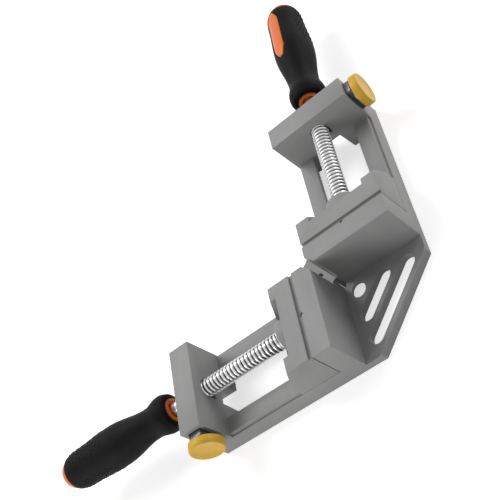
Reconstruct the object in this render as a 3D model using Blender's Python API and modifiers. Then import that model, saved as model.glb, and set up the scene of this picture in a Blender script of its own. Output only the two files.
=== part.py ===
"""Corner clamp with two screw arms at a right angle.

One cast frame carries two equal arms. On each arm a moving jaw slides on two rails
towards a fixed jaw, driven by a spindle with a screwdriver-style handle. A spring-loaded
release slide in each end block lets the spindle run freely.

Origin: where the planes of the two fixed clamping faces cross, on the frame's underside.
Arm a runs along +X and arm b along +Y; both are described in the coordinates of arm a.
"""
import math

import bmesh
import bpy
from mathutils import Matrix, Vector

MM = 0.001

# Clearances
FIT = 0.35 * MM            # between pieces that touch
RUNNING = 0.40 * MM        # between pieces that slide on each other

# Arm of the frame
ARM_WIDTH = 62.0 * MM
ARM_SETBACK = 12.0 * MM    # side of an arm, behind the other arm's clamping face
RAIL_TOP = 16.0 * MM
RAIL_WIDTH = 13.0 * MM
RAIL_PLATE = 3.5 * MM
SKIRT_WALL = 4.0 * MM
WINDOW_START = 3.0 * MM
GUIDE_DEPTH = 3.0 * MM     # step along each rail's outer edge
GUIDE_WIDTH = 1.6 * MM

# End block with the spindle's nut
BLOCK_FRONT = 88.0 * MM
BLOCK_THICK = 16.5 * MM
BLOCK_HEIGHT = 28.0 * MM   # above the rails
NOTCH_WIDTH = 14.4 * MM
NOTCH_RISE = 0.6 * MM      # top of the notch, above the rails
LEG_DRAFT = 1.2 * MM       # how much the notch widens at its foot

# Corner plate and fixed jaws
JAW_HEIGHT = 25.0 * MM     # above the rails
FIXED_JAW_THICK = 13.8 * MM
FIXED_JAW_WALL = 3.2 * MM
SLIT_WIDTH = 5.8 * MM
FLOOR_TOP = 6.0 * MM
FLOOR_THICK = 4.0 * MM
CORNER_RUN = 26.0 * MM     # straight side between an arm's clamping face and the cut corner
RIM_WIDTH = 1.6 * MM
RIM_HEIGHT = 1.0 * MM
PLATE_HOLE = 10.0 * MM
HOLE_PITCH = 13.7 * MM     # hole's middle to the short slot's middle line
SLOT_PITCH = 13.6 * MM     # between the two slots' middle lines
LONG_SLOT_INSET = 9.8 * MM  # long slot's middle line to the cut corner
SHORT_SLOT_MARGIN = 9.9 * MM  # short slot's end to the fixed jaw
LONG_SLOT_MARGIN = 12.0 * MM
SLOT_WIDTH = 10.2 * MM
WEB_TOP = 12.5 * MM
WEB_THICK = 4.5 * MM
WEB_EDGE = 18.0 * MM       # x + y along the web's free edge
WEB_HOLE = 5.4 * MM
WEB_HOLE_NEAR = 0.4 * MM
WEB_HOLE_PITCH = 14.8 * MM

# Moving jaw
JAW_GAP = 0.6 * MM         # left between the jaws when closed
JAW_TOP_DEPTH = 18.8 * MM
JAW_BASE_DEPTH = 28.6 * MM
JAW_FOOT_HEIGHT = 7.0 * MM
GUSSET_WIDTH = 10.0 * MM
JAW_WALL_DEPTH = 14.6 * MM
JAW_PAD = 4.2 * MM
BOSS_DIAMETER = 22.0 * MM
BOSS_DEPTH = 20.6 * MM
LEDGE_WIDTH = 2.3 * MM
LEDGE_DROP = 1.6 * MM
GROOVE_WIDTH = 3.4 * MM
GROOVE_DEPTH = 1.5 * MM
LIP_WALL = 1.2 * MM
TONGUE_START = 5.0 * MM
TONGUE_LENGTH = 21.0 * MM
KEEPER_LENGTH = 19.0 * MM
KEEPER_THICK = 3.2 * MM
KEEPER_SCREW = 5.0 * MM
KEEPER_SCREW_PITCH = 22.0 * MM
KEEPER_SCREW_HEAD = 8.6 * MM
KEEPER_SCREW_HEAD_HEIGHT = 2.8 * MM
KEEPER_SCREW_LENGTH = 10.0 * MM

# Spindle
SPINDLE_RISE = 13.8 * MM   # axis above the rails
SPINDLE_DIAMETER = 12.0 * MM
NECK_DIAMETER = 8.4 * MM
NECK_LENGTH = 14.5 * MM
CATCH_DIAMETER = 6.0 * MM
CATCH_WIDTH = 3.4 * MM
CATCH_END = 2.8 * MM       # neck left in front of the catch groove
WASHER_DIAMETER = 17.0 * MM
WASHER_THICK = 1.2 * MM
PIN_DIAMETER = 2.4 * MM
PIN_LENGTH = 24.0 * MM
THREAD_PAST = 6.6 * MM     # thread left behind the end block, jaws closed
SHANK_DIAMETER = 9.0 * MM
SHANK_LENGTH = 62.0 * MM

# Release slide and button
SLIDE_HEIGHT = 20.2 * MM
SLIDE_THICK = 9.4 * MM
SLIDE_TRAVEL = 3.0 * MM
SLIDE_END_WALL = 6.2 * MM  # past the spindle's window
COLLAR_DIAMETER = 19.6 * MM
COLLAR_LENGTH = 4.2 * MM
CAP_DIAMETER = 23.6 * MM
CAP_LENGTH = 5.8 * MM
CAP_FACE = 2.4 * MM
CAP_ROUND = 1.2 * MM
SPRING_DIAMETER = 6.2 * MM
SPRING_WIRE = 0.8 * MM
SPRING_LENGTH = 11.0 * MM
SPRING_TURNS = 5
SPRING_SEAT = 2.6 * MM
STOP_DIAMETER = 4.0 * MM
STOP_DEPTH = 1.4 * MM      # reach into the slide's groove
STOP_INSET = 11.0 * MM     # from the arm's outer side
STOP_RISE = 6.0 * MM       # above the spindle's axis

# Handle
HANDLE_GAP = 6.9 * MM      # bare shank between the thread and the handle
HANDLE_LENGTH = 108.0 * MM
FERRULE_DIAMETER = 16.0 * MM
FERRULE_LENGTH = 6.0 * MM
CORE_DIAMETER = 13.0 * MM
COLLAR_RADIUS = 13.4 * MM
COLLAR_AT = 7.5 * MM
MOUTH_RADIUS = 10.9 * MM
WAIST_RADIUS = 11.2 * MM
WAIST_AT = 20.0 * MM
BELLY_RADIUS = 14.9 * MM
BELLY_AT = 56.0 * MM
SHOULDER_RADIUS = 13.6 * MM
CROWN_RADIUS = 11.4 * MM
CROWN_ROUND = 12.0 * MM    # length of the rounding behind the shoulder
BUTT_DOME = 8.5 * MM
BUTT_WALL = 1.6 * MM
BUTT_DEPTH = 6.0 * MM
INLAY_START = 46.0 * MM
INLAY_END = 3.5 * MM       # inlay's end to the crown
INLAY_WIDTH = 10.4 * MM
INLAY_POINT = 8.0 * MM
INLAY_SEAT = 12.1 * MM     # flat under the inlay, from the handle's axis
INLAY_TURN = {"a": 74.0, "b": -225.0}
HANDLE_PIN_AT = 14.0 * MM
HANDLE_PIN_DIAMETER = 3.0 * MM

# Roundness
ROUND_STEPS = 32
SMALL_STEPS = 20

# Places that follow from the sizes, in the coordinates of arm a
Y_IN = -ARM_SETBACK
Y_OUT = -(ARM_SETBACK + ARM_WIDTH)
Y_AXIS = (Y_IN + Y_OUT) / 2
Z_AXIS = RAIL_TOP + SPINDLE_RISE
Z_JAW = RAIL_TOP + JAW_HEIGHT
Z_BLOCK = RAIL_TOP + BLOCK_HEIGHT
BLOCK_BACK = BLOCK_FRONT + BLOCK_THICK
BLOCK_MIDDLE = (BLOCK_FRONT + BLOCK_BACK) / 2
PLATE_BOTTOM = RAIL_TOP - RAIL_PLATE
SLIT_OFFSET = SLIT_WIDTH / math.sqrt(2)
CORNER_CUT = CORNER_RUN - Y_OUT  # x + y along the plate's diagonal edge
LONG_SLOT_AT = CORNER_CUT - LONG_SLOT_INSET * math.sqrt(2)
SHORT_SLOT_AT = LONG_SLOT_AT - SLOT_PITCH * math.sqrt(2)
PLATE_HOLE_AT = (SHORT_SLOT_AT - HOLE_PITCH * math.sqrt(2)) / 2
LONG_SLOT_LENGTH = (LONG_SLOT_AT - 2 * FIXED_JAW_THICK) * math.sqrt(2) - 2 * LONG_SLOT_MARGIN
SHORT_SLOT_LENGTH = (SHORT_SLOT_AT - 2 * FIXED_JAW_THICK) * math.sqrt(2) - 2 * SHORT_SLOT_MARGIN
JAW_FRONT = JAW_GAP
JAW_BACK = JAW_FRONT + JAW_BASE_DEPTH
BOSS_BACK = JAW_FRONT + BOSS_DEPTH
SHOULDER_FACE = BOSS_BACK + FIT + WASHER_THICK + FIT
NECK_START = SHOULDER_FACE - NECK_LENGTH
THREAD_END = BLOCK_BACK + THREAD_PAST
HANDLE_BASE = THREAD_END + HANDLE_GAP
CROWN_AT = HANDLE_LENGTH - BUTT_DOME
SHOULDER_AT = CROWN_AT - CROWN_ROUND
INLAY_LENGTH = CROWN_AT - INLAY_END - INLAY_START
SPINDLE_END = THREAD_END + SHANK_LENGTH
NUT_BORE = SPINDLE_DIAMETER / 2 + FIT
SLIDE_INNER = Y_AXIS + NUT_BORE + SLIDE_END_WALL
POCKET_END = SLIDE_INNER - SPRING_SEAT + FIT + SPRING_LENGTH + FIT
COLLAR_INNER = Y_OUT - SLIDE_TRAVEL - RUNNING

SWAP = Matrix(((0, 1, 0, 0), (1, 0, 0, 0), (0, 0, 1, 0), (0, 0, 0, 1)))
ARMS = ("a", "b")


def start_empty():
    """Remove the objects and make the part's two collections."""
    for old in list(bpy.data.objects):
        bpy.data.objects.remove(old, do_unlink=True)
    for name in ("corner_clamp", "cutters"):
        group = bpy.data.collections.get(name) or bpy.data.collections.new(name)
        if group.name not in bpy.context.scene.collection.children:
            bpy.context.scene.collection.children.link(group)


def paint(name, color, roughness, metallic):
    """Return a named Principled material."""
    material = bpy.data.materials.get(name) or bpy.data.materials.new(name)
    material.use_nodes = True
    shader = material.node_tree.nodes["Principled BSDF"]
    shader.inputs["Base Color"].default_value = (*color, 1.0)
    shader.inputs["Roughness"].default_value = roughness
    shader.inputs["Metallic"].default_value = metallic
    return material


def add_object(name, mesh, group="corner_clamp"):
    """Link a mesh as an object of one of the two collections."""
    obj = bpy.data.objects.new(name, mesh)
    bpy.data.collections[group].objects.link(obj)
    return obj


def to_arm(obj, arm):
    """Mirror a finished mesh from arm a's coordinates onto its own arm."""
    if arm == "b":
        obj.data.transform(SWAP)
        obj.data.flip_normals()
    return obj


def box(name, arm, x, y, z):
    """Return a box between pairs of limits along each axis."""
    bm = bmesh.new()
    bmesh.ops.create_cube(bm, size=1.0)
    size = Vector((x[1] - x[0], y[1] - y[0], z[1] - z[0]))
    middle = Vector((x[0] + x[1], y[0] + y[1], z[0] + z[1])) / 2
    bmesh.ops.scale(bm, vec=size, verts=bm.verts)
    bmesh.ops.translate(bm, vec=middle, verts=bm.verts)
    mesh = bpy.data.meshes.new(name)
    bm.to_mesh(mesh)
    bm.free()
    return to_arm(add_object(name, mesh), arm)


def rod(name, arm, radius, ends, axis, steps=ROUND_STEPS):
    """Return a cylinder from one end point to the other, along a principal axis."""
    bm = bmesh.new()
    length = (Vector(ends[1]) - Vector(ends[0])).length
    turn = {"x": Matrix.Rotation(math.pi / 2, 4, "Y"), "y": Matrix.Rotation(math.pi / 2, 4, "X")}
    bmesh.ops.create_cone(bm, cap_ends=True, segments=steps, radius1=radius, radius2=radius,
                          depth=length)
    bmesh.ops.rotate(bm, matrix=turn.get(axis, Matrix.Identity(4)).to_3x3(), verts=bm.verts)
    bmesh.ops.translate(bm, vec=(Vector(ends[0]) + Vector(ends[1])) / 2, verts=bm.verts)
    mesh = bpy.data.meshes.new(name)
    bm.to_mesh(mesh)
    bm.free()
    return to_arm(add_object(name, mesh), arm)


def curve_to_mesh(name, curve, matrix):
    """Turn a curve into a welded mesh object and remove the curve."""
    guide = add_object(name + "_curve", curve)
    guide.matrix_world = matrix
    bpy.context.view_layer.update()
    evaluated = guide.evaluated_get(bpy.context.evaluated_depsgraph_get())
    mesh = bpy.data.meshes.new_from_object(evaluated)
    mesh.transform(matrix)
    bm = bmesh.new()
    bm.from_mesh(mesh)
    bmesh.ops.remove_doubles(bm, verts=bm.verts, dist=0.01 * MM)
    bmesh.ops.recalc_face_normals(bm, faces=bm.faces)
    bm.to_mesh(mesh)
    bm.free()
    mesh.name = name
    bpy.data.objects.remove(guide, do_unlink=True)
    return add_object(name, mesh)


def outline(name, arm, points, span, plane="xy"):
    """Return a flat outline with a thickness: span is its limits across the plane."""
    curve = bpy.data.curves.new(name, "CURVE")
    curve.dimensions = "2D"
    curve.fill_mode = "BOTH"
    curve.extrude = (span[1] - span[0]) / 2
    spline = curve.splines.new("POLY")
    spline.points.add(len(points) - 1)
    for point, (u, v) in zip(spline.points, points):
        point.co = (u, v, 0.0, 1.0)
    spline.use_cyclic_u = True
    middle = (span[0] + span[1]) / 2
    if plane == "xy":
        matrix = Matrix.Translation((0, 0, middle))
    elif plane == "xz":
        matrix = Matrix.Translation((0, middle, 0)) @ Matrix.Rotation(math.pi / 2, 4, "X")
    else:
        turn = Matrix(((0, 0, 1, 0), (1, 0, 0, 0), (0, 1, 0, 0), (0, 0, 0, 1)))
        matrix = Matrix.Translation((middle, 0, 0)) @ turn
    return to_arm(curve_to_mesh(name, curve, matrix), arm)


def turned(name, arm, profile, start, along="x", steps=ROUND_STEPS, ring=False):
    """Return a turned piece: profile pairs are (distance along the axis, radius).

    The pairs run from the far end to the near end down the outer side. A ring's profile
    closes through its bore.
    """
    mesh = bpy.data.meshes.new(name)
    bm = bmesh.new()
    verts = [bm.verts.new((radius, 0.0, along_axis)) for along_axis, radius in profile]
    for first, second in zip(verts, verts[1:]):
        bm.edges.new((first, second))
    if ring:
        bm.edges.new((verts[-1], verts[0]))
    bm.to_mesh(mesh)
    bm.free()
    obj = add_object(name, mesh)
    screw = obj.modifiers.new("turn", "SCREW")
    screw.axis = "Z"
    screw.steps = steps
    screw.render_steps = steps
    screw.use_merge_vertices = True
    screw.merge_threshold = 0.00002
    directions = {"x": Vector((1, 0, 0)), "-y": Vector((0, -1, 0)), "z": Vector((0, 0, 1))}
    heading = directions[along]
    place = Vector(start)
    if arm == "b":
        heading = SWAP.to_3x3() @ heading
        place = SWAP.to_3x3() @ place
    obj.rotation_euler = heading.to_track_quat("Z", "Y").to_euler()
    obj.location = place
    bpy.context.view_layer.update()
    return obj


def combine(obj, tool, operation):
    """Boolean another object into this one; the other becomes a hidden cutter."""
    for group in tool.users_collection:
        group.objects.unlink(tool)
    bpy.data.collections["cutters"].objects.link(tool)
    tool.hide_render = True
    tool.display_type = "WIRE"
    modifier = obj.modifiers.new(operation.lower(), "BOOLEAN")
    modifier.operation = operation
    modifier.solver = "EXACT"
    modifier.object = tool
    return obj


def cut(obj, *tools):
    """Cut each tool out of the object."""
    for tool in tools:
        combine(obj, tool, "DIFFERENCE")


def join(obj, *tools):
    """Fuse each tool with the object."""
    for tool in tools:
        combine(obj, tool, "UNION")


def arc(centre, radius, start, end, steps):
    """Return the points of an arc, angles in degrees."""
    points = []
    for step in range(steps + 1):
        angle = math.radians(start + (end - start) * step / steps)
        points.append((centre[0] + radius * math.cos(angle), centre[1] + radius * math.sin(angle)))
    return points


def diagonal_slot(diagonal, length, width):
    """Return the outline of a round-ended slot centred on the line x + y = -diagonal."""
    half = (length - width) / 2 / math.sqrt(2)
    middle = -diagonal / 2
    points = arc((middle + half, middle - half), width / 2, -135, 45, 8)
    points += arc((middle - half, middle + half), width / 2, 45, 225, 8)
    return points


def finish(obj, material, smooth_angle=35.0):
    """Give the material and shade the round faces smooth."""
    obj.data.materials.append(material)
    obj.data.shade_smooth()
    obj.data.set_sharp_from_angle(angle=math.radians(smooth_angle))
    return obj


def frame_plan():
    """Return the outline of the whole frame from above."""
    back = BLOCK_BACK
    corner = -(CORNER_CUT + Y_OUT)
    return [(back, Y_IN), (back, Y_OUT), (corner, Y_OUT), (Y_OUT, corner),
            (Y_OUT, back), (Y_IN, back), (Y_IN, Y_IN)]


def fixed_jaw_plan():
    """Return a fixed jaw's outline from above, ended by the diagonal slit."""
    return [(0.0, Y_OUT), (0.0, Y_IN), (Y_IN + SLIT_OFFSET, Y_IN),
            (-FIXED_JAW_THICK, -FIXED_JAW_THICK - SLIT_OFFSET), (-FIXED_JAW_THICK, Y_OUT)]


def cut_arm(frame, arm):
    """Cut one arm's window, channel, guides, notch and end block openings."""
    rail_in = Y_IN - RAIL_WIDTH
    rail_out = Y_OUT + RAIL_WIDTH
    below = -1.0 * MM
    cut(frame,
        box("window_" + arm, arm, (WINDOW_START, BLOCK_FRONT), (rail_out, rail_in),
            (below, RAIL_TOP + 1 * MM)),
        box("channel_" + arm, arm, (WINDOW_START, BLOCK_FRONT),
            (Y_OUT + SKIRT_WALL, Y_IN - SKIRT_WALL), (below, PLATE_BOTTOM)))
    guide_z = (RAIL_TOP - GUIDE_DEPTH, RAIL_TOP + 1 * MM)
    cut(frame,
        box("guide_out_" + arm, arm, (0.0, BLOCK_FRONT), (Y_OUT - 1 * MM, Y_OUT + GUIDE_WIDTH),
            guide_z),
        box("guide_in_" + arm, arm, (0.0, BLOCK_FRONT), (Y_IN - GUIDE_WIDTH, Y_IN + 1 * MM),
            guide_z))
    through = (BLOCK_FRONT - 1 * MM, BLOCK_BACK + 1 * MM)
    half = NOTCH_WIDTH / 2
    notch = [(Y_AXIS - half - LEG_DRAFT, below), (Y_AXIS + half + LEG_DRAFT, below),
             (Y_AXIS + half, RAIL_TOP + NOTCH_RISE), (Y_AXIS - half, RAIL_TOP + NOTCH_RISE)]
    radius = SPINDLE_DIAMETER / 2 + RUNNING
    arch = [(Y_AXIS - radius, Z_AXIS - radius), (Y_AXIS + radius, Z_AXIS - radius)]
    arch += arc((Y_AXIS, Z_AXIS), radius, 0, 180, 12)
    cut(frame, outline("notch_" + arm, arm, notch, through, "yz"),
        outline("arch_" + arm, arm, arch, through, "yz"))
    half_thick = SLIDE_THICK / 2 + RUNNING
    half_height = SLIDE_HEIGHT / 2 + RUNNING
    stop_y = Y_OUT + STOP_INSET
    stop_z = Z_AXIS + STOP_RISE
    cut(frame,
        box("pocket_" + arm, arm, (BLOCK_MIDDLE - half_thick, BLOCK_MIDDLE + half_thick),
            (Y_OUT - 1 * MM, POCKET_END), (Z_AXIS - half_height, Z_AXIS + half_height)),
        rod("stop_bore_" + arm, arm, STOP_DIAMETER / 2 + FIT,
            ((BLOCK_MIDDLE, stop_y, stop_z), (BLOCK_BACK + 1 * MM, stop_y, stop_z)), "x",
            SMALL_STEPS))


def make_frame(material):
    """Make the cast frame: two arms, end blocks, fixed jaws, corner plate and web."""
    frame = outline("frame", "a", frame_plan(), (0.0, RAIL_TOP))
    low = RAIL_TOP / 2
    for arm in ARMS:
        join(frame,
             outline("fixed_jaw_" + arm, arm, fixed_jaw_plan(), (low, Z_JAW)),
             box("end_block_" + arm, arm, (BLOCK_FRONT, BLOCK_BACK), (Y_OUT, Y_IN),
                 (low, Z_BLOCK)))
    lap = 1.5 * MM
    web = [(Y_IN - lap, Y_IN - lap), (WEB_EDGE - Y_IN + lap, Y_IN - lap),
           (Y_IN - lap, WEB_EDGE - Y_IN + lap)]
    join(frame, outline("web", "a", web, (WEB_TOP - WEB_THICK, WEB_TOP)))
    inside = -FIXED_JAW_THICK
    far = Y_OUT - 10 * MM
    above = Z_JAW + 5 * MM
    rim_line = CORNER_CUT - RIM_WIDTH * math.sqrt(2)
    sunk = [(inside, inside), (inside, -rim_line - inside), (-rim_line - inside, inside)]
    under_line = CORNER_CUT - SKIRT_WALL * math.sqrt(2)
    under_side = inside - SKIRT_WALL
    hollow = [(under_side, under_side), (under_side, -under_line - under_side),
              (-under_line - under_side, under_side)]
    cut(frame,
        box("corner_space", "a", (far, inside), (far, inside), (FLOOR_TOP + RIM_HEIGHT, above)),
        outline("corner_floor", "a", sunk, (FLOOR_TOP, above)),
        outline("corner_hollow", "a", hollow, (-1 * MM, FLOOR_TOP - FLOOR_THICK)))
    for arm in ARMS:
        cut(frame, box("jaw_core_" + arm, arm,
                       (inside + FIXED_JAW_WALL, -FIXED_JAW_WALL),
                       (Y_OUT + SKIRT_WALL, inside - SLIT_OFFSET - SKIRT_WALL),
                       (-1 * MM, Z_JAW - FIXED_JAW_WALL)))
        cut_arm(frame, arm)
        half = GROOVE_WIDTH / 2
        groove = [(-GROOVE_DEPTH, Y_AXIS), (1 * MM, Y_AXIS - half - 1 * MM),
                  (1 * MM, Y_AXIS + half + 1 * MM)]
        cut(frame, outline("face_groove_" + arm, arm, groove, (RAIL_TOP, above)))
    half = SLIT_OFFSET
    reach = -inside + 2 * MM
    slit = [(-reach + half, -reach), (half + 2 * MM, 2 * MM), (2 * MM, half + 2 * MM),
            (-reach, -reach + half)]
    cut(frame, outline("slit", "a", slit, (WEB_TOP, above)))
    plate = (-1 * MM, FLOOR_TOP + 1 * MM)
    cut(frame,
        rod("plate_hole", "a", PLATE_HOLE / 2,
            ((-PLATE_HOLE_AT, -PLATE_HOLE_AT, plate[0]), (-PLATE_HOLE_AT, -PLATE_HOLE_AT, plate[1])),
            "z"),
        outline("short_slot", "a", diagonal_slot(SHORT_SLOT_AT, SHORT_SLOT_LENGTH, SLOT_WIDTH),
                plate),
        outline("long_slot", "a", diagonal_slot(LONG_SLOT_AT, LONG_SLOT_LENGTH, SLOT_WIDTH),
                plate))
    for count in range(2):
        place = WEB_HOLE_NEAR - (WEB_HOLE_PITCH * count + WEB_HOLE) / math.sqrt(2)
        cut(frame, rod("web_hole_%d" % count, "a", WEB_HOLE / 2,
                       ((place, place, -1 * MM), (place, place, RAIL_TOP + 1 * MM)), "z",
                       SMALL_STEPS))
    return finish(frame, material)


def make_jaw(arm, materials):
    """Make a moving jaw with its keeper plate, screws, washer and spindle pin."""
    name = "moving_jaw_" + arm
    foot = RAIL_TOP + FIT
    lip_foot = RAIL_TOP - GUIDE_DEPTH + RUNNING
    section = [(Y_OUT, lip_foot), (Y_OUT + LIP_WALL, lip_foot), (Y_OUT + LIP_WALL, foot),
               (Y_IN - LIP_WALL, foot), (Y_IN - LIP_WALL, lip_foot), (Y_IN, lip_foot),
               (Y_IN, Z_JAW), (Y_OUT, Z_JAW)]
    jaw = outline(name, arm, section, (JAW_FRONT, JAW_BACK), "yz")
    low = Vector((JAW_BACK, foot + JAW_FOOT_HEIGHT))
    high = Vector((JAW_FRONT + JAW_TOP_DEPTH, Z_JAW))
    past = (high - low) * 0.2
    slope = [tuple(low - past), tuple(high + past), (JAW_BACK + 10 * MM, Z_JAW + 10 * MM)]
    cut(jaw, outline("back_slope_" + arm, arm, slope, (Y_OUT - 1 * MM, Y_IN + 1 * MM), "xz"))
    recess = (Y_OUT + GUSSET_WIDTH, Y_IN - GUSSET_WIDTH)
    cut(jaw, box("recess_" + arm, arm, (JAW_FRONT + JAW_WALL_DEPTH, JAW_BACK + 1 * MM), recess,
                 (foot + JAW_PAD, Z_JAW + 1 * MM)))
    tongue_half = (ARM_WIDTH - 2 * RAIL_WIDTH) / 2 - RUNNING
    tongue_x = (TONGUE_START, TONGUE_START + TONGUE_LENGTH)
    keeper_top = PLATE_BOTTOM - RUNNING
    tongue_foot = keeper_top + FIT
    join(jaw,
         rod("boss_" + arm, arm, BOSS_DIAMETER / 2,
             ((JAW_FRONT + JAW_WALL_DEPTH / 2, Y_AXIS, Z_AXIS), (BOSS_BACK, Y_AXIS, Z_AXIS)), "x"),
         box("tongue_" + arm, arm, tongue_x, (Y_AXIS - tongue_half, Y_AXIS + tongue_half),
             (tongue_foot, foot + JAW_PAD / 2)))
    half = GROOVE_WIDTH / 2
    groove = [(JAW_FRONT + GROOVE_DEPTH, Y_AXIS), (JAW_FRONT - 1 * MM, Y_AXIS + half + 1 * MM),
              (JAW_FRONT - 1 * MM, Y_AXIS - half - 1 * MM)]
    pin_y = Y_AXIS + (CATCH_DIAMETER + PIN_DIAMETER) / 2 + FIT
    pin_x = NECK_START + CATCH_END + CATCH_WIDTH / 2
    pin_foot = tongue_foot + 1 * MM
    pin_hole = PIN_DIAMETER / 2 + FIT
    cut(jaw,
        box("ledge_" + arm, arm, (JAW_FRONT - 1 * MM, JAW_FRONT + LEDGE_WIDTH),
            (Y_OUT - 1 * MM, Y_IN + 1 * MM), (Z_JAW - LEDGE_DROP, Z_JAW + 1 * MM)),
        outline("jaw_groove_" + arm, arm, groove, (RAIL_TOP, Z_JAW + 1 * MM)),
        rod("neck_bore_" + arm, arm, NECK_DIAMETER / 2 + FIT,
            ((NECK_START - FIT, Y_AXIS, Z_AXIS), (JAW_BACK, Y_AXIS, Z_AXIS)), "x"),
        rod("pin_bore_" + arm, arm, pin_hole,
            ((pin_x, pin_y, tongue_foot - 1 * MM), (pin_x, pin_y, pin_foot + PIN_LENGTH + FIT)),
            "z", SMALL_STEPS))
    finish(jaw, materials["cast"])
    finish(rod("spindle_pin_" + arm, arm, PIN_DIAMETER / 2,
               ((pin_x, pin_y, pin_foot), (pin_x, pin_y, pin_foot + PIN_LENGTH)), "z",
               SMALL_STEPS), materials["steel"])

    keeper_middle = (tongue_x[0] + tongue_x[1]) / 2
    keeper_x = (keeper_middle - KEEPER_LENGTH / 2, keeper_middle + KEEPER_LENGTH / 2)
    keeper_side = SKIRT_WALL + RUNNING
    keeper_z = (keeper_top - KEEPER_THICK, keeper_top)
    keeper = box("keeper_" + arm, arm, keeper_x, (Y_OUT + keeper_side, Y_IN - keeper_side),
                 keeper_z)
    for count, hand in enumerate((-1, 1)):
        screw_y = Y_AXIS + hand * KEEPER_SCREW_PITCH / 2
        bore = KEEPER_SCREW / 2 + FIT
        head_top = keeper_z[0] - FIT
        tip = head_top + KEEPER_SCREW_LENGTH
        label = "%s_%d" % (arm, count + 1)
        cut(keeper, rod("keeper_bore_" + label, arm, bore,
                        ((keeper_middle, screw_y, keeper_z[0] - 1 * MM),
                         (keeper_middle, screw_y, keeper_z[1] + 1 * MM)), "z", SMALL_STEPS))
        cut(jaw, rod("screw_bore_" + label, arm, bore,
                     ((keeper_middle, screw_y, tongue_foot - 1 * MM),
                      (keeper_middle, screw_y, tip + FIT)), "z", SMALL_STEPS))
        head = KEEPER_SCREW_HEAD / 2
        profile = [(KEEPER_SCREW_LENGTH, 0.0), (KEEPER_SCREW_LENGTH, KEEPER_SCREW / 2 - 0.5 * MM),
                   (KEEPER_SCREW_LENGTH - 0.5 * MM, KEEPER_SCREW / 2), (0.0, KEEPER_SCREW / 2),
                   (0.0, head), (-KEEPER_SCREW_HEAD_HEIGHT * 0.6, head),
                   (-KEEPER_SCREW_HEAD_HEIGHT, head * 0.7), (-KEEPER_SCREW_HEAD_HEIGHT, 0.0)]
        finish(turned("keeper_screw_" + label, arm, profile, (keeper_middle, screw_y, head_top),
                      "z", SMALL_STEPS), materials["steel"])
    finish(keeper, materials["steel"])
    ring = [(WASHER_THICK, NECK_DIAMETER / 2 + FIT), (WASHER_THICK, WASHER_DIAMETER / 2),
            (0.0, WASHER_DIAMETER / 2), (0.0, NECK_DIAMETER / 2 + FIT)]
    finish(turned("washer_" + arm, arm, ring, (BOSS_BACK + FIT, Y_AXIS, Z_AXIS), "x",
                  ROUND_STEPS, ring=True), materials["steel"])
    return jaw


def make_spindle(arm, materials):
    """Make the spindle: pinned neck, threaded length and smooth shank."""
    neck = NECK_DIAMETER / 2
    catch = CATCH_DIAMETER / 2
    major = SPINDLE_DIAMETER / 2
    shank = SHANK_DIAMETER / 2
    chamfer = 0.8 * MM
    near = NECK_START + CATCH_END
    far = near + CATCH_WIDTH
    profile = [(SPINDLE_END, 0.0), (SPINDLE_END, shank - chamfer), (SPINDLE_END - chamfer, shank),
               (THREAD_END, shank), (THREAD_END - major + shank, major),
               (SHOULDER_FACE, major), (SHOULDER_FACE, neck), (far, neck), (far, catch),
               (near, catch), (near, neck), (NECK_START + chamfer, neck),
               (NECK_START, neck - chamfer), (NECK_START, 0.0)]
    spindle = turned("spindle_" + arm, arm, profile, (0.0, Y_AXIS, Z_AXIS))
    pin_x = HANDLE_BASE + HANDLE_PIN_AT
    cut(spindle, rod("shank_bore_" + arm, arm, HANDLE_PIN_DIAMETER / 2 + FIT,
                     ((pin_x, Y_AXIS, Z_AXIS - COLLAR_RADIUS),
                      (pin_x, Y_AXIS, Z_AXIS + COLLAR_RADIUS)), "z", SMALL_STEPS))
    return finish(spindle, materials["chrome"])


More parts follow.
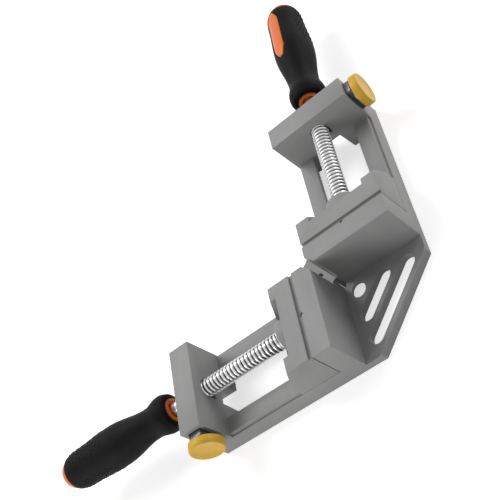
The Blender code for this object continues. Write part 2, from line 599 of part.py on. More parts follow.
def make_release(arm, materials):
    """Make the release slide, its yellow cap, spring and stop screw."""
    thick = (BLOCK_MIDDLE - SLIDE_THICK / 2, BLOCK_MIDDLE + SLIDE_THICK / 2)
    height = (Z_AXIS - SLIDE_HEIGHT / 2, Z_AXIS + SLIDE_HEIGHT / 2)
    collar_outer = COLLAR_INNER - COLLAR_LENGTH
    bare_collar = COLLAR_LENGTH - (CAP_LENGTH - CAP_FACE)
    slide = box("release_slide_" + arm, arm, thick, (COLLAR_INNER - bare_collar / 2, SLIDE_INNER),
                height)
    join(slide, rod("collar_" + arm, arm, COLLAR_DIAMETER / 2,
                    ((BLOCK_MIDDLE, COLLAR_INNER, Z_AXIS), (BLOCK_MIDDLE, collar_outer, Z_AXIS)),
                    "y"))
    clear = SLIDE_TRAVEL + FIT
    window = arc((Y_AXIS, Z_AXIS), NUT_BORE, -90, 90, 12)
    window += arc((Y_AXIS - clear, Z_AXIS), NUT_BORE, 90, 270, 12)
    stop_y = Y_OUT + STOP_INSET
    stop_z = Z_AXIS + STOP_RISE
    stop_reach = STOP_DIAMETER / 2 + FIT
    cut(slide,
        outline("nut_window_" + arm, arm, window, (thick[0] - 1 * MM, thick[1] + 1 * MM), "yz"),
        rod("spring_bore_" + arm, arm, SPRING_DIAMETER / 2 + FIT,
            ((BLOCK_MIDDLE, SLIDE_INNER - SPRING_SEAT, Z_AXIS),
             (BLOCK_MIDDLE, SLIDE_INNER + 1 * MM, Z_AXIS)), "y", SMALL_STEPS),
        box("stop_groove_" + arm, arm, (thick[1] - STOP_DEPTH - FIT, thick[1] + 1 * MM),
            (stop_y - stop_reach - SLIDE_TRAVEL, stop_y + stop_reach),
            (stop_z - stop_reach, stop_z + stop_reach)))
    finish(slide, materials["dark_steel"])

    socket = COLLAR_DIAMETER / 2 + FIT
    depth = CAP_LENGTH - CAP_FACE
    cap_base = collar_outer - FIT + depth
    radius = CAP_DIAMETER / 2
    profile = [(CAP_LENGTH, 0.0)]
    profile += [(CAP_LENGTH - CAP_ROUND + CAP_ROUND * math.sin(angle),
                 radius - CAP_ROUND + CAP_ROUND * math.cos(angle))
                for angle in (math.radians(90 - 22.5 * step) for step in range(5))]
    profile += [(CAP_ROUND / 2, radius), (0.0, radius - CAP_ROUND / 2), (0.0, socket),
                (depth, socket), (depth, 0.0)]
    finish(turned("release_cap_" + arm, arm, profile, (BLOCK_MIDDLE, cap_base, Z_AXIS), "-y"),
           materials["yellow"])

    make_spring(arm, SLIDE_INNER - SPRING_SEAT + FIT, materials["steel"])
    slide_side = BLOCK_MIDDLE + SLIDE_THICK / 2
    screw_x = (slide_side - STOP_DEPTH, BLOCK_BACK - 0.2 * MM)
    finish(rod("stop_screw_" + arm, arm, STOP_DIAMETER / 2,
               ((screw_x[0], stop_y, stop_z), (screw_x[1], stop_y, stop_z)), "x", SMALL_STEPS),
           materials["steel"])


def make_spring(arm, start, material):
    """Make the compression spring as a coiled wire with closed end turns."""
    curve = bpy.data.curves.new("release_spring_" + arm, "CURVE")
    curve.dimensions = "3D"
    curve.bevel_depth = SPRING_WIRE / 2
    curve.bevel_resolution = 1
    curve.use_fill_caps = True
    per_turn = 12
    radius = (SPRING_DIAMETER - SPRING_WIRE) / 2
    count = SPRING_TURNS * per_turn
    rise = SPRING_LENGTH - SPRING_WIRE
    spline = curve.splines.new("POLY")
    spline.points.add(count)
    for step in range(count + 1):
        angle = 2 * math.pi * step / per_turn
        along = rise * step / count
        spline.points[step].co = (radius * math.cos(angle), along + SPRING_WIRE / 2,
                                  radius * math.sin(angle), 1.0)
    middle = Matrix.Translation((BLOCK_MIDDLE, start, Z_AXIS))
    spring = to_arm(curve_to_mesh("release_spring_" + arm, curve, middle), arm)
    return finish(spring, material, 60.0)


def grip_radius(distance):
    """Return the grip's outer radius at a distance from its mouth."""
    stations = [(0.0, MOUTH_RADIUS), (COLLAR_AT, COLLAR_RADIUS), (WAIST_AT, WAIST_RADIUS),
                (BELLY_AT, BELLY_RADIUS), (SHOULDER_AT, SHOULDER_RADIUS)]
    if distance >= SHOULDER_AT:
        share = (distance - SHOULDER_AT) / (CROWN_AT - SHOULDER_AT)
        drop = 1 - math.sqrt(max(0.0, 1 - min(share, 1.0) ** 2))
        return SHOULDER_RADIUS - (SHOULDER_RADIUS - CROWN_RADIUS) * drop
    for (start, first), (end, second) in zip(stations, stations[1:]):
        if distance <= end:
            share = (distance - start) / (end - start)
            if start == 0.0:
                return first + (second - first) * math.sin(share * math.pi / 2)
            return first + (second - first) * (1 - math.cos(share * math.pi)) / 2
    return SHOULDER_RADIUS


def inlay_plan(margin):
    """Return the inlay's long hexagon, grown by a margin."""
    start = HANDLE_BASE + INLAY_START
    end = start + INLAY_LENGTH
    half = INLAY_WIDTH / 2
    return [(start - margin, -half * 0.4 - margin), (start + INLAY_POINT, -half - margin),
            (end - INLAY_POINT, -half - margin), (end + margin, -half * 0.4 - margin),
            (end + margin, half * 0.4 + margin), (end - INLAY_POINT, half + margin),
            (start + INLAY_POINT, half + margin), (start - margin, half * 0.4 + margin)]


def turn_about_axis(obj, arm, degrees):
    """Turn a mesh about its arm's spindle axis."""
    axis = Vector((1, 0, 0))
    place = Vector((0.0, Y_AXIS, Z_AXIS))
    if arm == "b":
        axis = SWAP.to_3x3() @ axis
        place = SWAP.to_3x3() @ place
        degrees = -degrees
    turn = Matrix.Rotation(math.radians(degrees - 90.0), 4, axis)
    obj.data.transform(Matrix.Translation(place) @ turn @ Matrix.Translation(-place))
    return obj


def handle_profile(grow, steps=20):
    """Return the grip's outer profile from crown to mouth, grown by an amount."""
    return [(CROWN_AT * (steps - step) / steps, grip_radius(CROWN_AT * (steps - step) / steps) + grow)
            for step in range(steps + 1)]


def make_handle(arm, materials):
    """Make the handle: orange core with ferrule, rubber grip, butt cap, inlay and pin."""
    origin = (HANDLE_BASE, Y_AXIS, Z_AXIS)
    shank = SHANK_DIAMETER / 2 + FIT
    core = CORE_DIAMETER / 2
    ferrule = FERRULE_DIAMETER / 2
    core_end = CROWN_AT - BUTT_DEPTH - FIT
    shank_depth = SPINDLE_END - HANDLE_BASE + FIT
    profile = [(core_end, 0.0), (core_end, core), (FERRULE_LENGTH, core),
               (FERRULE_LENGTH, ferrule), (0.8 * MM, ferrule), (0.0, ferrule - 0.8 * MM),
               (0.0, shank), (shank_depth, shank), (shank_depth, 0.0)]
    body = turned("handle_core_" + arm, arm, profile, origin)
    pin_x = HANDLE_BASE + HANDLE_PIN_AT
    bore = HANDLE_PIN_DIAMETER / 2 + FIT
    cut(body, rod("core_bore_" + arm, arm, bore, ((pin_x, Y_AXIS, Z_AXIS - COLLAR_RADIUS),
                                                  (pin_x, Y_AXIS, Z_AXIS + COLLAR_RADIUS)), "z",
                  SMALL_STEPS))
    finish(body, materials["orange"])
    pin_reach = core - 0.2 * MM
    finish(rod("handle_pin_" + arm, arm, HANDLE_PIN_DIAMETER / 2,
               ((pin_x, Y_AXIS, Z_AXIS - pin_reach), (pin_x, Y_AXIS, Z_AXIS + pin_reach)), "z",
               SMALL_STEPS), materials["steel"])

    mouth = 1.2 * MM
    inner = core + FIT
    butt = CROWN_RADIUS - BUTT_WALL
    outside = [(along, radius) for along, radius in handle_profile(0.0) if along > mouth]
    profile = outside + [(mouth, grip_radius(mouth)), (mouth, ferrule + FIT),
                         (FERRULE_LENGTH + FIT, ferrule + FIT), (FERRULE_LENGTH + FIT, inner),
                         (CROWN_AT - BUTT_DEPTH, inner), (CROWN_AT - BUTT_DEPTH, butt),
                         (CROWN_AT, butt)]
    grip = turned("handle_grip_" + arm, arm, profile, origin, ring=True)
    pocket = outline("inlay_pocket_" + arm, arm,
                     [(x, Y_AXIS + y) for x, y in inlay_plan(FIT)],
                     (Z_AXIS + INLAY_SEAT - FIT, Z_AXIS + BELLY_RADIUS + 1 * MM))
    cut(grip, turn_about_axis(pocket, arm, INLAY_TURN[arm]))
    finish(grip, materials["rubber"])

    inlay = outline("handle_inlay_" + arm, arm, [(x, Y_AXIS + y) for x, y in inlay_plan(0.0)],
                    (Z_AXIS + INLAY_SEAT, Z_AXIS + BELLY_RADIUS + 1 * MM))
    turn_about_axis(inlay, arm, INLAY_TURN[arm])
    shell = turned("inlay_shell_" + arm, arm,
                   [(CROWN_AT, 0.0)] + handle_profile(0.25 * MM) + [(0.0, 0.0)], origin)
    combine(inlay, shell, "INTERSECT")
    finish(inlay, materials["orange"])

    top = HANDLE_LENGTH - CROWN_AT
    plug = butt - FIT
    dome = [(CROWN_AT + top * math.cos(angle), (CROWN_RADIUS - 0.4 * MM) * math.sin(angle))
            for angle in (math.radians(15 * step) for step in range(6))]
    profile = dome + [(CROWN_AT + FIT, CROWN_RADIUS - 0.3 * MM), (CROWN_AT + FIT, plug),
                      (CROWN_AT - BUTT_DEPTH + FIT, plug), (CROWN_AT - BUTT_DEPTH + FIT, 0.0)]
    finish(turned("handle_butt_" + arm, arm, profile, origin), materials["orange"])


def main():
    """Build the clamp."""
    start_empty()
    materials = {
        "cast": paint("cast_grey", (0.29, 0.30, 0.30), 0.5, 0.3),
        "steel": paint("steel", (0.55, 0.55, 0.56), 0.35, 1.0),
        "chrome": paint("zinc_bright", (0.8, 0.8, 0.8), 0.2, 1.0),
        "dark_steel": paint("dark_steel", (0.12, 0.12, 0.13), 0.35, 0.9),
        "yellow": paint("yellow_plastic", (0.72, 0.46, 0.04), 0.4, 0.0),
        "rubber": paint("black_rubber", (0.012, 0.012, 0.013), 0.6, 0.0),
        "orange": paint("orange_plastic", (0.83, 0.16, 0.03), 0.4, 0.0),
    }
    make_frame(materials["cast"])
    for arm in ARMS:
        make_jaw(arm, materials)
        make_spindle(arm, materials)
        make_release(arm, materials)
        make_handle(arm, materials)


main()
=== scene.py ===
"""Looks of the corner clamp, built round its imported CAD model.

The clamp has one cast frame with two equal arms. Everything on an arm is described in the
coordinates of arm a, which runs along +X, and is mirrored onto arm b, which runs along +Y.
"""
from __future__ import annotations

import logging
import math
from dataclasses import dataclass
from enum import Enum

import bmesh
import bpy
from mathutils import Matrix, Vector

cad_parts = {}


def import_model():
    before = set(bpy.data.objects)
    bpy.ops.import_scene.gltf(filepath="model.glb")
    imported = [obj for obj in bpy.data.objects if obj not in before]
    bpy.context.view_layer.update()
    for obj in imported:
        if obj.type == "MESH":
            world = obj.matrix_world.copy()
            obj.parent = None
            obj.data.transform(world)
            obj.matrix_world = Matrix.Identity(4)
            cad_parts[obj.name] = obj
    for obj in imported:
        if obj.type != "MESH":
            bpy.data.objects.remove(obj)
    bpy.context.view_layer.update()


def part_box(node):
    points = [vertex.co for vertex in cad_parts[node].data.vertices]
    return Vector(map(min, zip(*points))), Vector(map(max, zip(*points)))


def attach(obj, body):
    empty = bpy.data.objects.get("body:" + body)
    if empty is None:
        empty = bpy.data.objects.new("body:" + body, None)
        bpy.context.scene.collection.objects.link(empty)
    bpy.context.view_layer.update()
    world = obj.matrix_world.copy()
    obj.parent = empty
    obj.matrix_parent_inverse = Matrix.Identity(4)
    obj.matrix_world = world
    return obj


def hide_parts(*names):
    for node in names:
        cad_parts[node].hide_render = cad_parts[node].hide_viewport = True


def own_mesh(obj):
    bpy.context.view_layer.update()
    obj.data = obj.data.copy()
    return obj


LOG = logging.getLogger("corner_clamp")
MM = 0.001
FIT = 0.35 * MM            # between pieces that touch, as in the CAD model
FLAT = math.radians(0.4)   # edges below this angle lie in one face
SHARP = math.radians(32.0)  # edges above this angle are rounded
ROUND_STEPS = 2
SWAP = Matrix(((0, 1, 0, 0), (1, 0, 0, 0), (0, 0, 1, 0), (0, 0, 0, 1)))
UNIT = (0.0, 1.0)
WHITE = (1.0, 1.0, 1.0, 1.0)

Rgb = tuple[float, float, float]
Profile = list[tuple[float, float]]
Cut = tuple[str, Profile, float, float]


class Arm(Enum):
    """The clamp's two arms."""

    A = "a"
    B = "b"

    def node(self, name: str) -> str:
        """Return the name of a node, body or joint on this arm."""
        return f"{name}_{self.value}"

    def local(self, point: Vector) -> Vector:
        """Return a point of the clamp in arm a's coordinates, or the other way round."""
        return Vector(point) if self is Arm.A else SWAP.to_3x3() @ Vector(point)


class Slot(Enum):
    """The record's material slots."""

    CAST = "cast_grey"
    STEEL = "steel"
    ZINC = "zinc_bright"
    DARK = "dark_steel"
    YELLOW = "yellow_plastic"
    RUBBER = "black_rubber"
    ORANGE = "orange_plastic"


@dataclass(frozen=True)
class Span:
    """The box of a CAD node in the coordinates of its own arm."""

    low: Vector
    high: Vector

    @classmethod
    def of(cls, node: str, arm: Arm = Arm.A) -> Span:
        """Measure a CAD node.

        Args:
            node: The node's name.
            arm: The arm whose coordinates are wanted.

        Returns:
            The node's lowest and highest corners.
        """
        low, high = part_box(node)
        return cls(arm.local(low), arm.local(high))

    @property
    def middle(self) -> Vector:
        """Return the middle of the box."""
        return (self.low + self.high) / 2


class NodeTree:
    """A small writer for shader node trees."""

    def __init__(self, target: bpy.types.NodeTree) -> None:
        """Keep the tree that is written to."""
        self.target = target

    @classmethod
    def of(cls, owner: bpy.types.Material | bpy.types.World) -> NodeTree:
        """Return a writer for the emptied tree of a material or a world."""
        owner.use_nodes = True
        owner.node_tree.nodes.clear()
        return cls(owner.node_tree)

    def feed(self, node: bpy.types.Node, values: dict) -> None:
        """Give inputs of a node their values.

        Args:
            node: The node.
            values: A socket or a plain value for each input, by name or number.
        """
        for name, value in values.items():
            if isinstance(value, bpy.types.NodeSocket):
                self.target.links.new(value, node.inputs[name])
            else:
                node.inputs[name].default_value = value

    def add(self, kind: str, settings: dict | None = None, values: dict | None = None) -> bpy.types.Node:
        """Add a node.

        Args:
            kind: The node's type name.
            settings: Attributes of the node.
            values: A socket or a plain value for each input, by name or number.

        Returns:
            The new node.
        """
        node = self.target.nodes.new(kind)
        for name, value in (settings or {}).items():
            setattr(node, name, value)
        self.feed(node, values or {})
        return node

    def group(self, group: bpy.types.NodeTree, values: dict) -> bpy.types.NodeOutputs:
        """Place a node group with its own values and return its outputs."""
        return self.add("ShaderNodeGroup", {"node_tree": group}, values).outputs

    def math(self, operation: str, first: object, second: object) -> bpy.types.NodeSocket:
        """Work out a number from two, each a socket or a plain one."""
        return self.add("ShaderNodeMath", {"operation": operation}, {0: first, 1: second}).outputs[0]

    def mix(self, factor: bpy.types.NodeSocket, first: object, second: object) -> bpy.types.NodeSocket:
        """Mix two colours, each a socket or a plain one."""
        values = {0: factor, 6: first, 7: second}
        return self.add("ShaderNodeMix", {"data_type": "RGBA"}, values).outputs[2]

    def spread(self, value: bpy.types.NodeSocket, source: tuple[float, float],
               result: tuple[float, float]) -> bpy.types.NodeSocket:
        """Stretch a value from one range to another.

        Args:
            value: The value.
            source: The range that it comes in.
            result: The range that goes out.

        Returns:
            The stretched and clamped value.
        """
        names = ("From Min", "From Max", "To Min", "To Max")
        values = {"Value": value, **dict(zip(names, (*source, *result)))}
        return self.add("ShaderNodeMapRange", None, values).outputs["Result"]

    def noise(self, source: bpy.types.Node, values: dict[str, float]) -> bpy.types.NodeSocket:
        """Add a noise to a group.

        Args:
            source: The group's input node, whose vector, scale and detail it takes where they exist.
            values: Plain values of its other inputs.

        Returns:
            The noise.
        """
        taken = [name for name in ("Vector", "Scale", "Detail") if name in source.outputs]
        values = {**values, **{name: source.outputs[name] for name in taken}}
        return self.add("ShaderNodeTexNoise", None, values).outputs[0]


class SharedEffects:
    """The shader node groups that several finishes use."""

    def __init__(self) -> None:
        """Build each group once."""
        self.grain = self._relief("fine_grain", {"Scale": 900.0, "Detail": 3.0}, {"Roughness": 0.55},
                                  (0.35, 0.65))
        self.drift = self._drift()
        self.streaks = self._relief("tool_streaks", {"Scale": 1.0}, {"Detail": 2.0, "Roughness": 0.7},
                                    (0.4, 0.6))
        # painted highlight along rounded edges
        self.painted_edge_highlight = self._painted_edge_highlight()

    @staticmethod
    def _start(name: str, inputs: dict[str, object], outputs: dict[str, str]
               ) -> tuple[NodeTree, bpy.types.Node, bpy.types.Node]:
        """Make an empty group with its sockets.

        Args:
            name: The group's name.
            inputs: The default of each input next to its vector: a number or a colour.
            outputs: Each output's socket type.

        Returns:
            The group's writer, its input node and its output node.
        """
        group = bpy.data.node_groups.new(name, "ShaderNodeTree")
        group.interface.new_socket("Vector", in_out="INPUT", socket_type="NodeSocketVector")
        for label, default in inputs.items():
            kind = "NodeSocketColor" if isinstance(default, tuple) else "NodeSocketFloat"
            socket = group.interface.new_socket(label, in_out="INPUT", socket_type=kind)
            socket.default_value = default
        for label, kind in outputs.items():
            group.interface.new_socket(label, in_out="OUTPUT", socket_type=kind)
        writer = NodeTree(group)
        return writer, writer.add("NodeGroupInput"), writer.add("NodeGroupOutput")

    def _relief(self, name: str, inputs: dict[str, object], values: dict[str, float],
                band: tuple[float, float]) -> bpy.types.NodeTree:
        """Build a noise with a height and a mask.

        Args:
            name: The group's name.
            inputs: The default of each input next to its vector.
            values: Plain values of the noise.
            band: The range of the noise that the mask stretches.

        Returns:
            The group.
        """
        tree, source, result = self._start(name, inputs, {"Height": "NodeSocketFloat",
                                                          "Mask": "NodeSocketFloat"})
        noise = tree.noise(source, values)
        tree.feed(result, {"Height": noise, "Mask": tree.spread(noise, band, UNIT)})
        return tree.target

    def _drift(self) -> bpy.types.NodeTree:
        """Build a slow drift of tone over a surface."""
        tree, source, result = self._start(
            "tone_drift", {"Scale": 30.0, "Color": (0.5, 0.5, 0.5, 1.0), "Other": (0.4, 0.4, 0.4, 1.0)},
            {"Color": "NodeSocketColor"})
        mask = tree.spread(tree.noise(source, {"Detail": 4.0, "Roughness": 0.6}), (0.38, 0.62), UNIT)
        tree.feed(result, {"Color": tree.mix(mask, source.outputs["Color"], source.outputs["Other"])})
        return tree.target

    def _painted_edge_highlight(self) -> bpy.types.NodeTree:
        """Build a painted highlight along rounded edges, broken up by a noise."""
        tree, source, result = self._start(
            "painted_edge_highlight", {"Edge": 0.0, "Amount": 0.5, "Color": (0.5, 0.5, 0.5, 1.0),
                          "Highlight": (0.7, 0.7, 0.7, 1.0)}, {"Color": "NodeSocketColor"})
        broken = tree.spread(tree.noise(source, {"Scale": 160.0, "Detail": 3.0}), (0.3, 0.6), (0.25, 1.0))
        mask = tree.math("MULTIPLY", tree.math("MULTIPLY", source.outputs["Edge"], broken),
                         source.outputs["Amount"])
        # painted highlight: a lighter colour mixed in along the rounded edges
        tree.feed(result, {"Color": tree.mix(mask, source.outputs["Color"], source.outputs["Highlight"])})
        return tree.target


@dataclass(frozen=True)
class Finish:
    """A plain moulded or plated surface, with the settings that every finish has."""

    name: str
    color: Rgb
    other: Rgb
    roughness: tuple[float, float]
    metallic: float = 0.0
    drift_scale: float = 30.0
    grain_scale: float = 900.0
    grain_depth: float = 0.02 * MM
    specular: float = 0.5

    def surface(self, tree: NodeTree, effects: SharedEffects, place: bpy.types.NodeSocket,
                tone: bpy.types.NodeSocket) -> tuple[bpy.types.NodeSocket, ...]:
        """Write what sets this kind of finish apart.

        Args:
            tree: The material's writer.
            effects: The shared node groups.
            place: The object's coordinates.
            tone: The slow drift between the finish's two colours.

        Returns:
            The colour, the mask that the roughness follows, and the relief.
        """
        grain = tree.group(effects.grain, {"Vector": place, "Scale": self.grain_scale})
        return tone, grain["Mask"], grain["Height"]

    def build(self, effects: SharedEffects) -> bpy.types.Material:
        """Write the material.

        Args:
            effects: The shared node groups.

        Returns:
            The material.
        """
        material = bpy.data.materials.new(self.name)
        tree = NodeTree.of(material)
        place = tree.add("ShaderNodeTexCoord").outputs["Object"]
        tone = tree.group(effects.drift, {"Vector": place, "Scale": self.drift_scale,
                                          "Color": (*self.color, 1.0), "Other": (*self.other, 1.0)})
        color, mask, relief = self.surface(tree, effects, place, tone["Color"])
        bump = tree.add("ShaderNodeBump", None,
                        {"Height": relief, "Strength": 1.0, "Distance": self.grain_depth})
        shader = tree.add("ShaderNodeBsdfPrincipled", None,
                          {"Base Color": color, "Roughness": tree.spread(mask, UNIT, self.roughness),
                           "Metallic": self.metallic, "Specular IOR Level": self.specular,
                           "Normal": bump.outputs[0]})
        tree.add("ShaderNodeOutputMaterial", None, {"Surface": shader.outputs[0]})
        return material


@dataclass(frozen=True)
class CastEnamel(Finish):
    """Smooth grey enamel on a die casting, with a painted highlight along its rounded edges."""

    # painted edge highlight: its lighter colour and how strongly it shows
    highlight_color: Rgb = (0.42, 0.42, 0.41)
    highlight_strength: float = 0.55
    swell_size: float = 6.0
    swell_height: float = 2.0

    def surface(self, tree: NodeTree, effects: SharedEffects, place: bpy.types.NodeSocket,
                tone: bpy.types.NodeSocket) -> tuple[bpy.types.NodeSocket, ...]:
        """Write the enamel's painted edge highlight, its fine peel and its larger swell.

        Args:
            tree: The material's writer.
            effects: The shared node groups.
            place: The object's coordinates.
            tone: The slow drift between the finish's two colours.

        Returns:
            The colour, the mask that the roughness follows, and the relief.
        """
        edge = tree.add("ShaderNodeAttribute", {"attribute_name": "edge"})
        # painted highlight along the rounded edges
        color = tree.group(effects.painted_edge_highlight,
                           {"Vector": place, "Edge": edge.outputs["Fac"], "Amount": self.highlight_strength,
                            "Color": tone, "Highlight": (*self.highlight_color, 1.0)})["Color"]
        peel = tree.group(effects.grain, {"Vector": place, "Scale": self.grain_scale})
        skin = tree.group(effects.grain, {"Vector": place, "Scale": self.grain_scale / self.swell_size,
                                          "Detail": 2.0})
        swell = tree.math("MULTIPLY", skin["Height"], self.swell_height)
        return color, peel["Mask"], tree.math("ADD", peel["Height"], swell)


@dataclass(frozen=True, kw_only=True)
class TurnedMetal(Finish):
    """Turned and plated metal with fine rings round its own axis and painted shade in its thread root."""

    axis: tuple[float, ...]
    centre: tuple[float, ...]
    flanks: tuple[float, float]
    below_root: tuple[float, float]
    root_shade_color: Rgb
    ring_scale: float = 2680.0
    round_scale: float = 80.0

    def surface(self, tree: NodeTree, effects: SharedEffects, place: bpy.types.NodeSocket,
                tone: bpy.types.NodeSocket) -> tuple[bpy.types.NodeSocket, ...]:
        """Write the metal's rings, and the painted shade in the thread root between its crest and shank.

        Args:
            tree: The material's writer.
            effects: The shared node groups.
            place: The object's coordinates.
            tone: The slow drift between the finish's two colours.

        Returns:
            The colour, the mask that the roughness follows, and the relief.
        """
        stretch = tuple(self.round_scale + (self.ring_scale - self.round_scale) * abs(value)
                        for value in self.axis)
        scaled = tree.add("ShaderNodeMapping", None, {"Vector": place, "Scale": stretch})
        rings = tree.group(effects.streaks, {"Vector": scaled.outputs[0]})
        across = tuple(1.0 - abs(value) for value in self.axis)
        offset = tuple(-value * share for value, share in zip(self.centre, across))
        flat = tree.add("ShaderNodeMapping", None, {"Vector": place, "Location": offset, "Scale": across})
        length = tree.add("ShaderNodeVectorMath", {"operation": "LENGTH"}, {0: flat.outputs[0]})
        reach = length.outputs["Value"]
        # painted shade: darker in the thread root, lighter on the crest and on the plain shank
        bright = tree.math("MAXIMUM", tree.spread(reach, self.flanks, UNIT),
                           tree.spread(reach, self.below_root, (1.0, 0.0)))
        return tree.mix(bright, (*self.root_shade_color, 1.0), tone), rings["Mask"], rings["Height"]


class FinishBook:
    """Every finish of the clamp, as built materials."""

    def __init__(self, axis_y: float, axis_z: float) -> None:
        """Build the shared effects and each finish.

        Args:
            axis_y: How far the spindle's axis is across its arm.
            axis_z: How high the spindle's axis is.
        """
        effects = SharedEffects()
        finishes = {
            Slot.CAST: CastEnamel(
                "cast_enamel", (0.285, 0.287, 0.283), (0.315, 0.316, 0.312), (0.46, 0.58),
                drift_scale=22.0, grain_scale=1100.0, grain_depth=0.012 * MM, specular=0.28),
            Slot.STEEL: Finish(
                "zinc_steel", (0.50, 0.50, 0.51), (0.60, 0.60, 0.60), (0.28, 0.42), metallic=1.0,
                drift_scale=60.0, grain_scale=1500.0, grain_depth=0.006 * MM),
            Slot.DARK: Finish(
                "dark_steel", (0.10, 0.10, 0.115), (0.17, 0.17, 0.185), (0.32, 0.5), metallic=0.9,
                drift_scale=90.0, grain_scale=1400.0, grain_depth=0.008 * MM),
            Slot.YELLOW: Finish(
                "yellow_moulding", (0.72, 0.43, 0.035), (0.66, 0.385, 0.03), (0.34, 0.46),
                drift_scale=140.0, grain_scale=1600.0, grain_depth=0.012 * MM, specular=0.28),
            Slot.ORANGE: Finish(
                "orange_moulding", (0.85, 0.19, 0.035), (0.79, 0.165, 0.03), (0.3, 0.4),
                drift_scale=120.0, grain_scale=1800.0, grain_depth=0.008 * MM, specular=0.3),
            Slot.RUBBER: Finish(
                "grip_rubber", (0.0065, 0.0065, 0.0068), (0.0095, 0.0095, 0.0098), (0.5, 0.66),
                drift_scale=70.0, grain_scale=1300.0, specular=0.06),
        }
        self.plain = {slot: finish.build(effects) for slot, finish in finishes.items()}
        self.zinc = {
            arm: TurnedMetal(
                arm.node("bright_zinc"), (0.74, 0.74, 0.75), (0.64, 0.64, 0.65), (0.16, 0.3), metallic=1.0,
                drift_scale=70.0, grain_depth=0.004 * MM, axis=tuple(arm.local(Vector((1, 0, 0)))),
                centre=tuple(arm.local(Vector((0, axis_y, axis_z)))),
                flanks=(Spindle.root, Spindle.crest - 0.15 * MM),
                below_root=(Spindle.root - 0.35 * MM, Spindle.root - 0.1 * MM),
                # painted shade colour of the thread root
                root_shade_color=(0.05, 0.05, 0.052)).build(effects)
            for arm in Arm}

    def of(self, slot: Slot, arm: Arm = Arm.A) -> bpy.types.Material:
        """Return the material of a slot; turned metal has its rings along its own arm."""
        return self.zinc[arm] if slot is Slot.ZINC else self.plain[slot]


def shown(name: str, data: bpy.types.ID) -> bpy.types.Object:
    """Return a new object of the scene that shows a mesh, a lamp or a camera."""
    obj = bpy.data.objects.new(name, data)
    bpy.context.scene.collection.objects.link(obj)
    return obj


def solid(name: str, bm: bmesh.types.BMesh) -> bpy.types.Object:
    """Return a new object of the scene made of a bmesh, which is freed."""
    mesh = bpy.data.meshes.new(name)
    bm.to_mesh(mesh)
    bm.free()
    return shown(name, mesh)


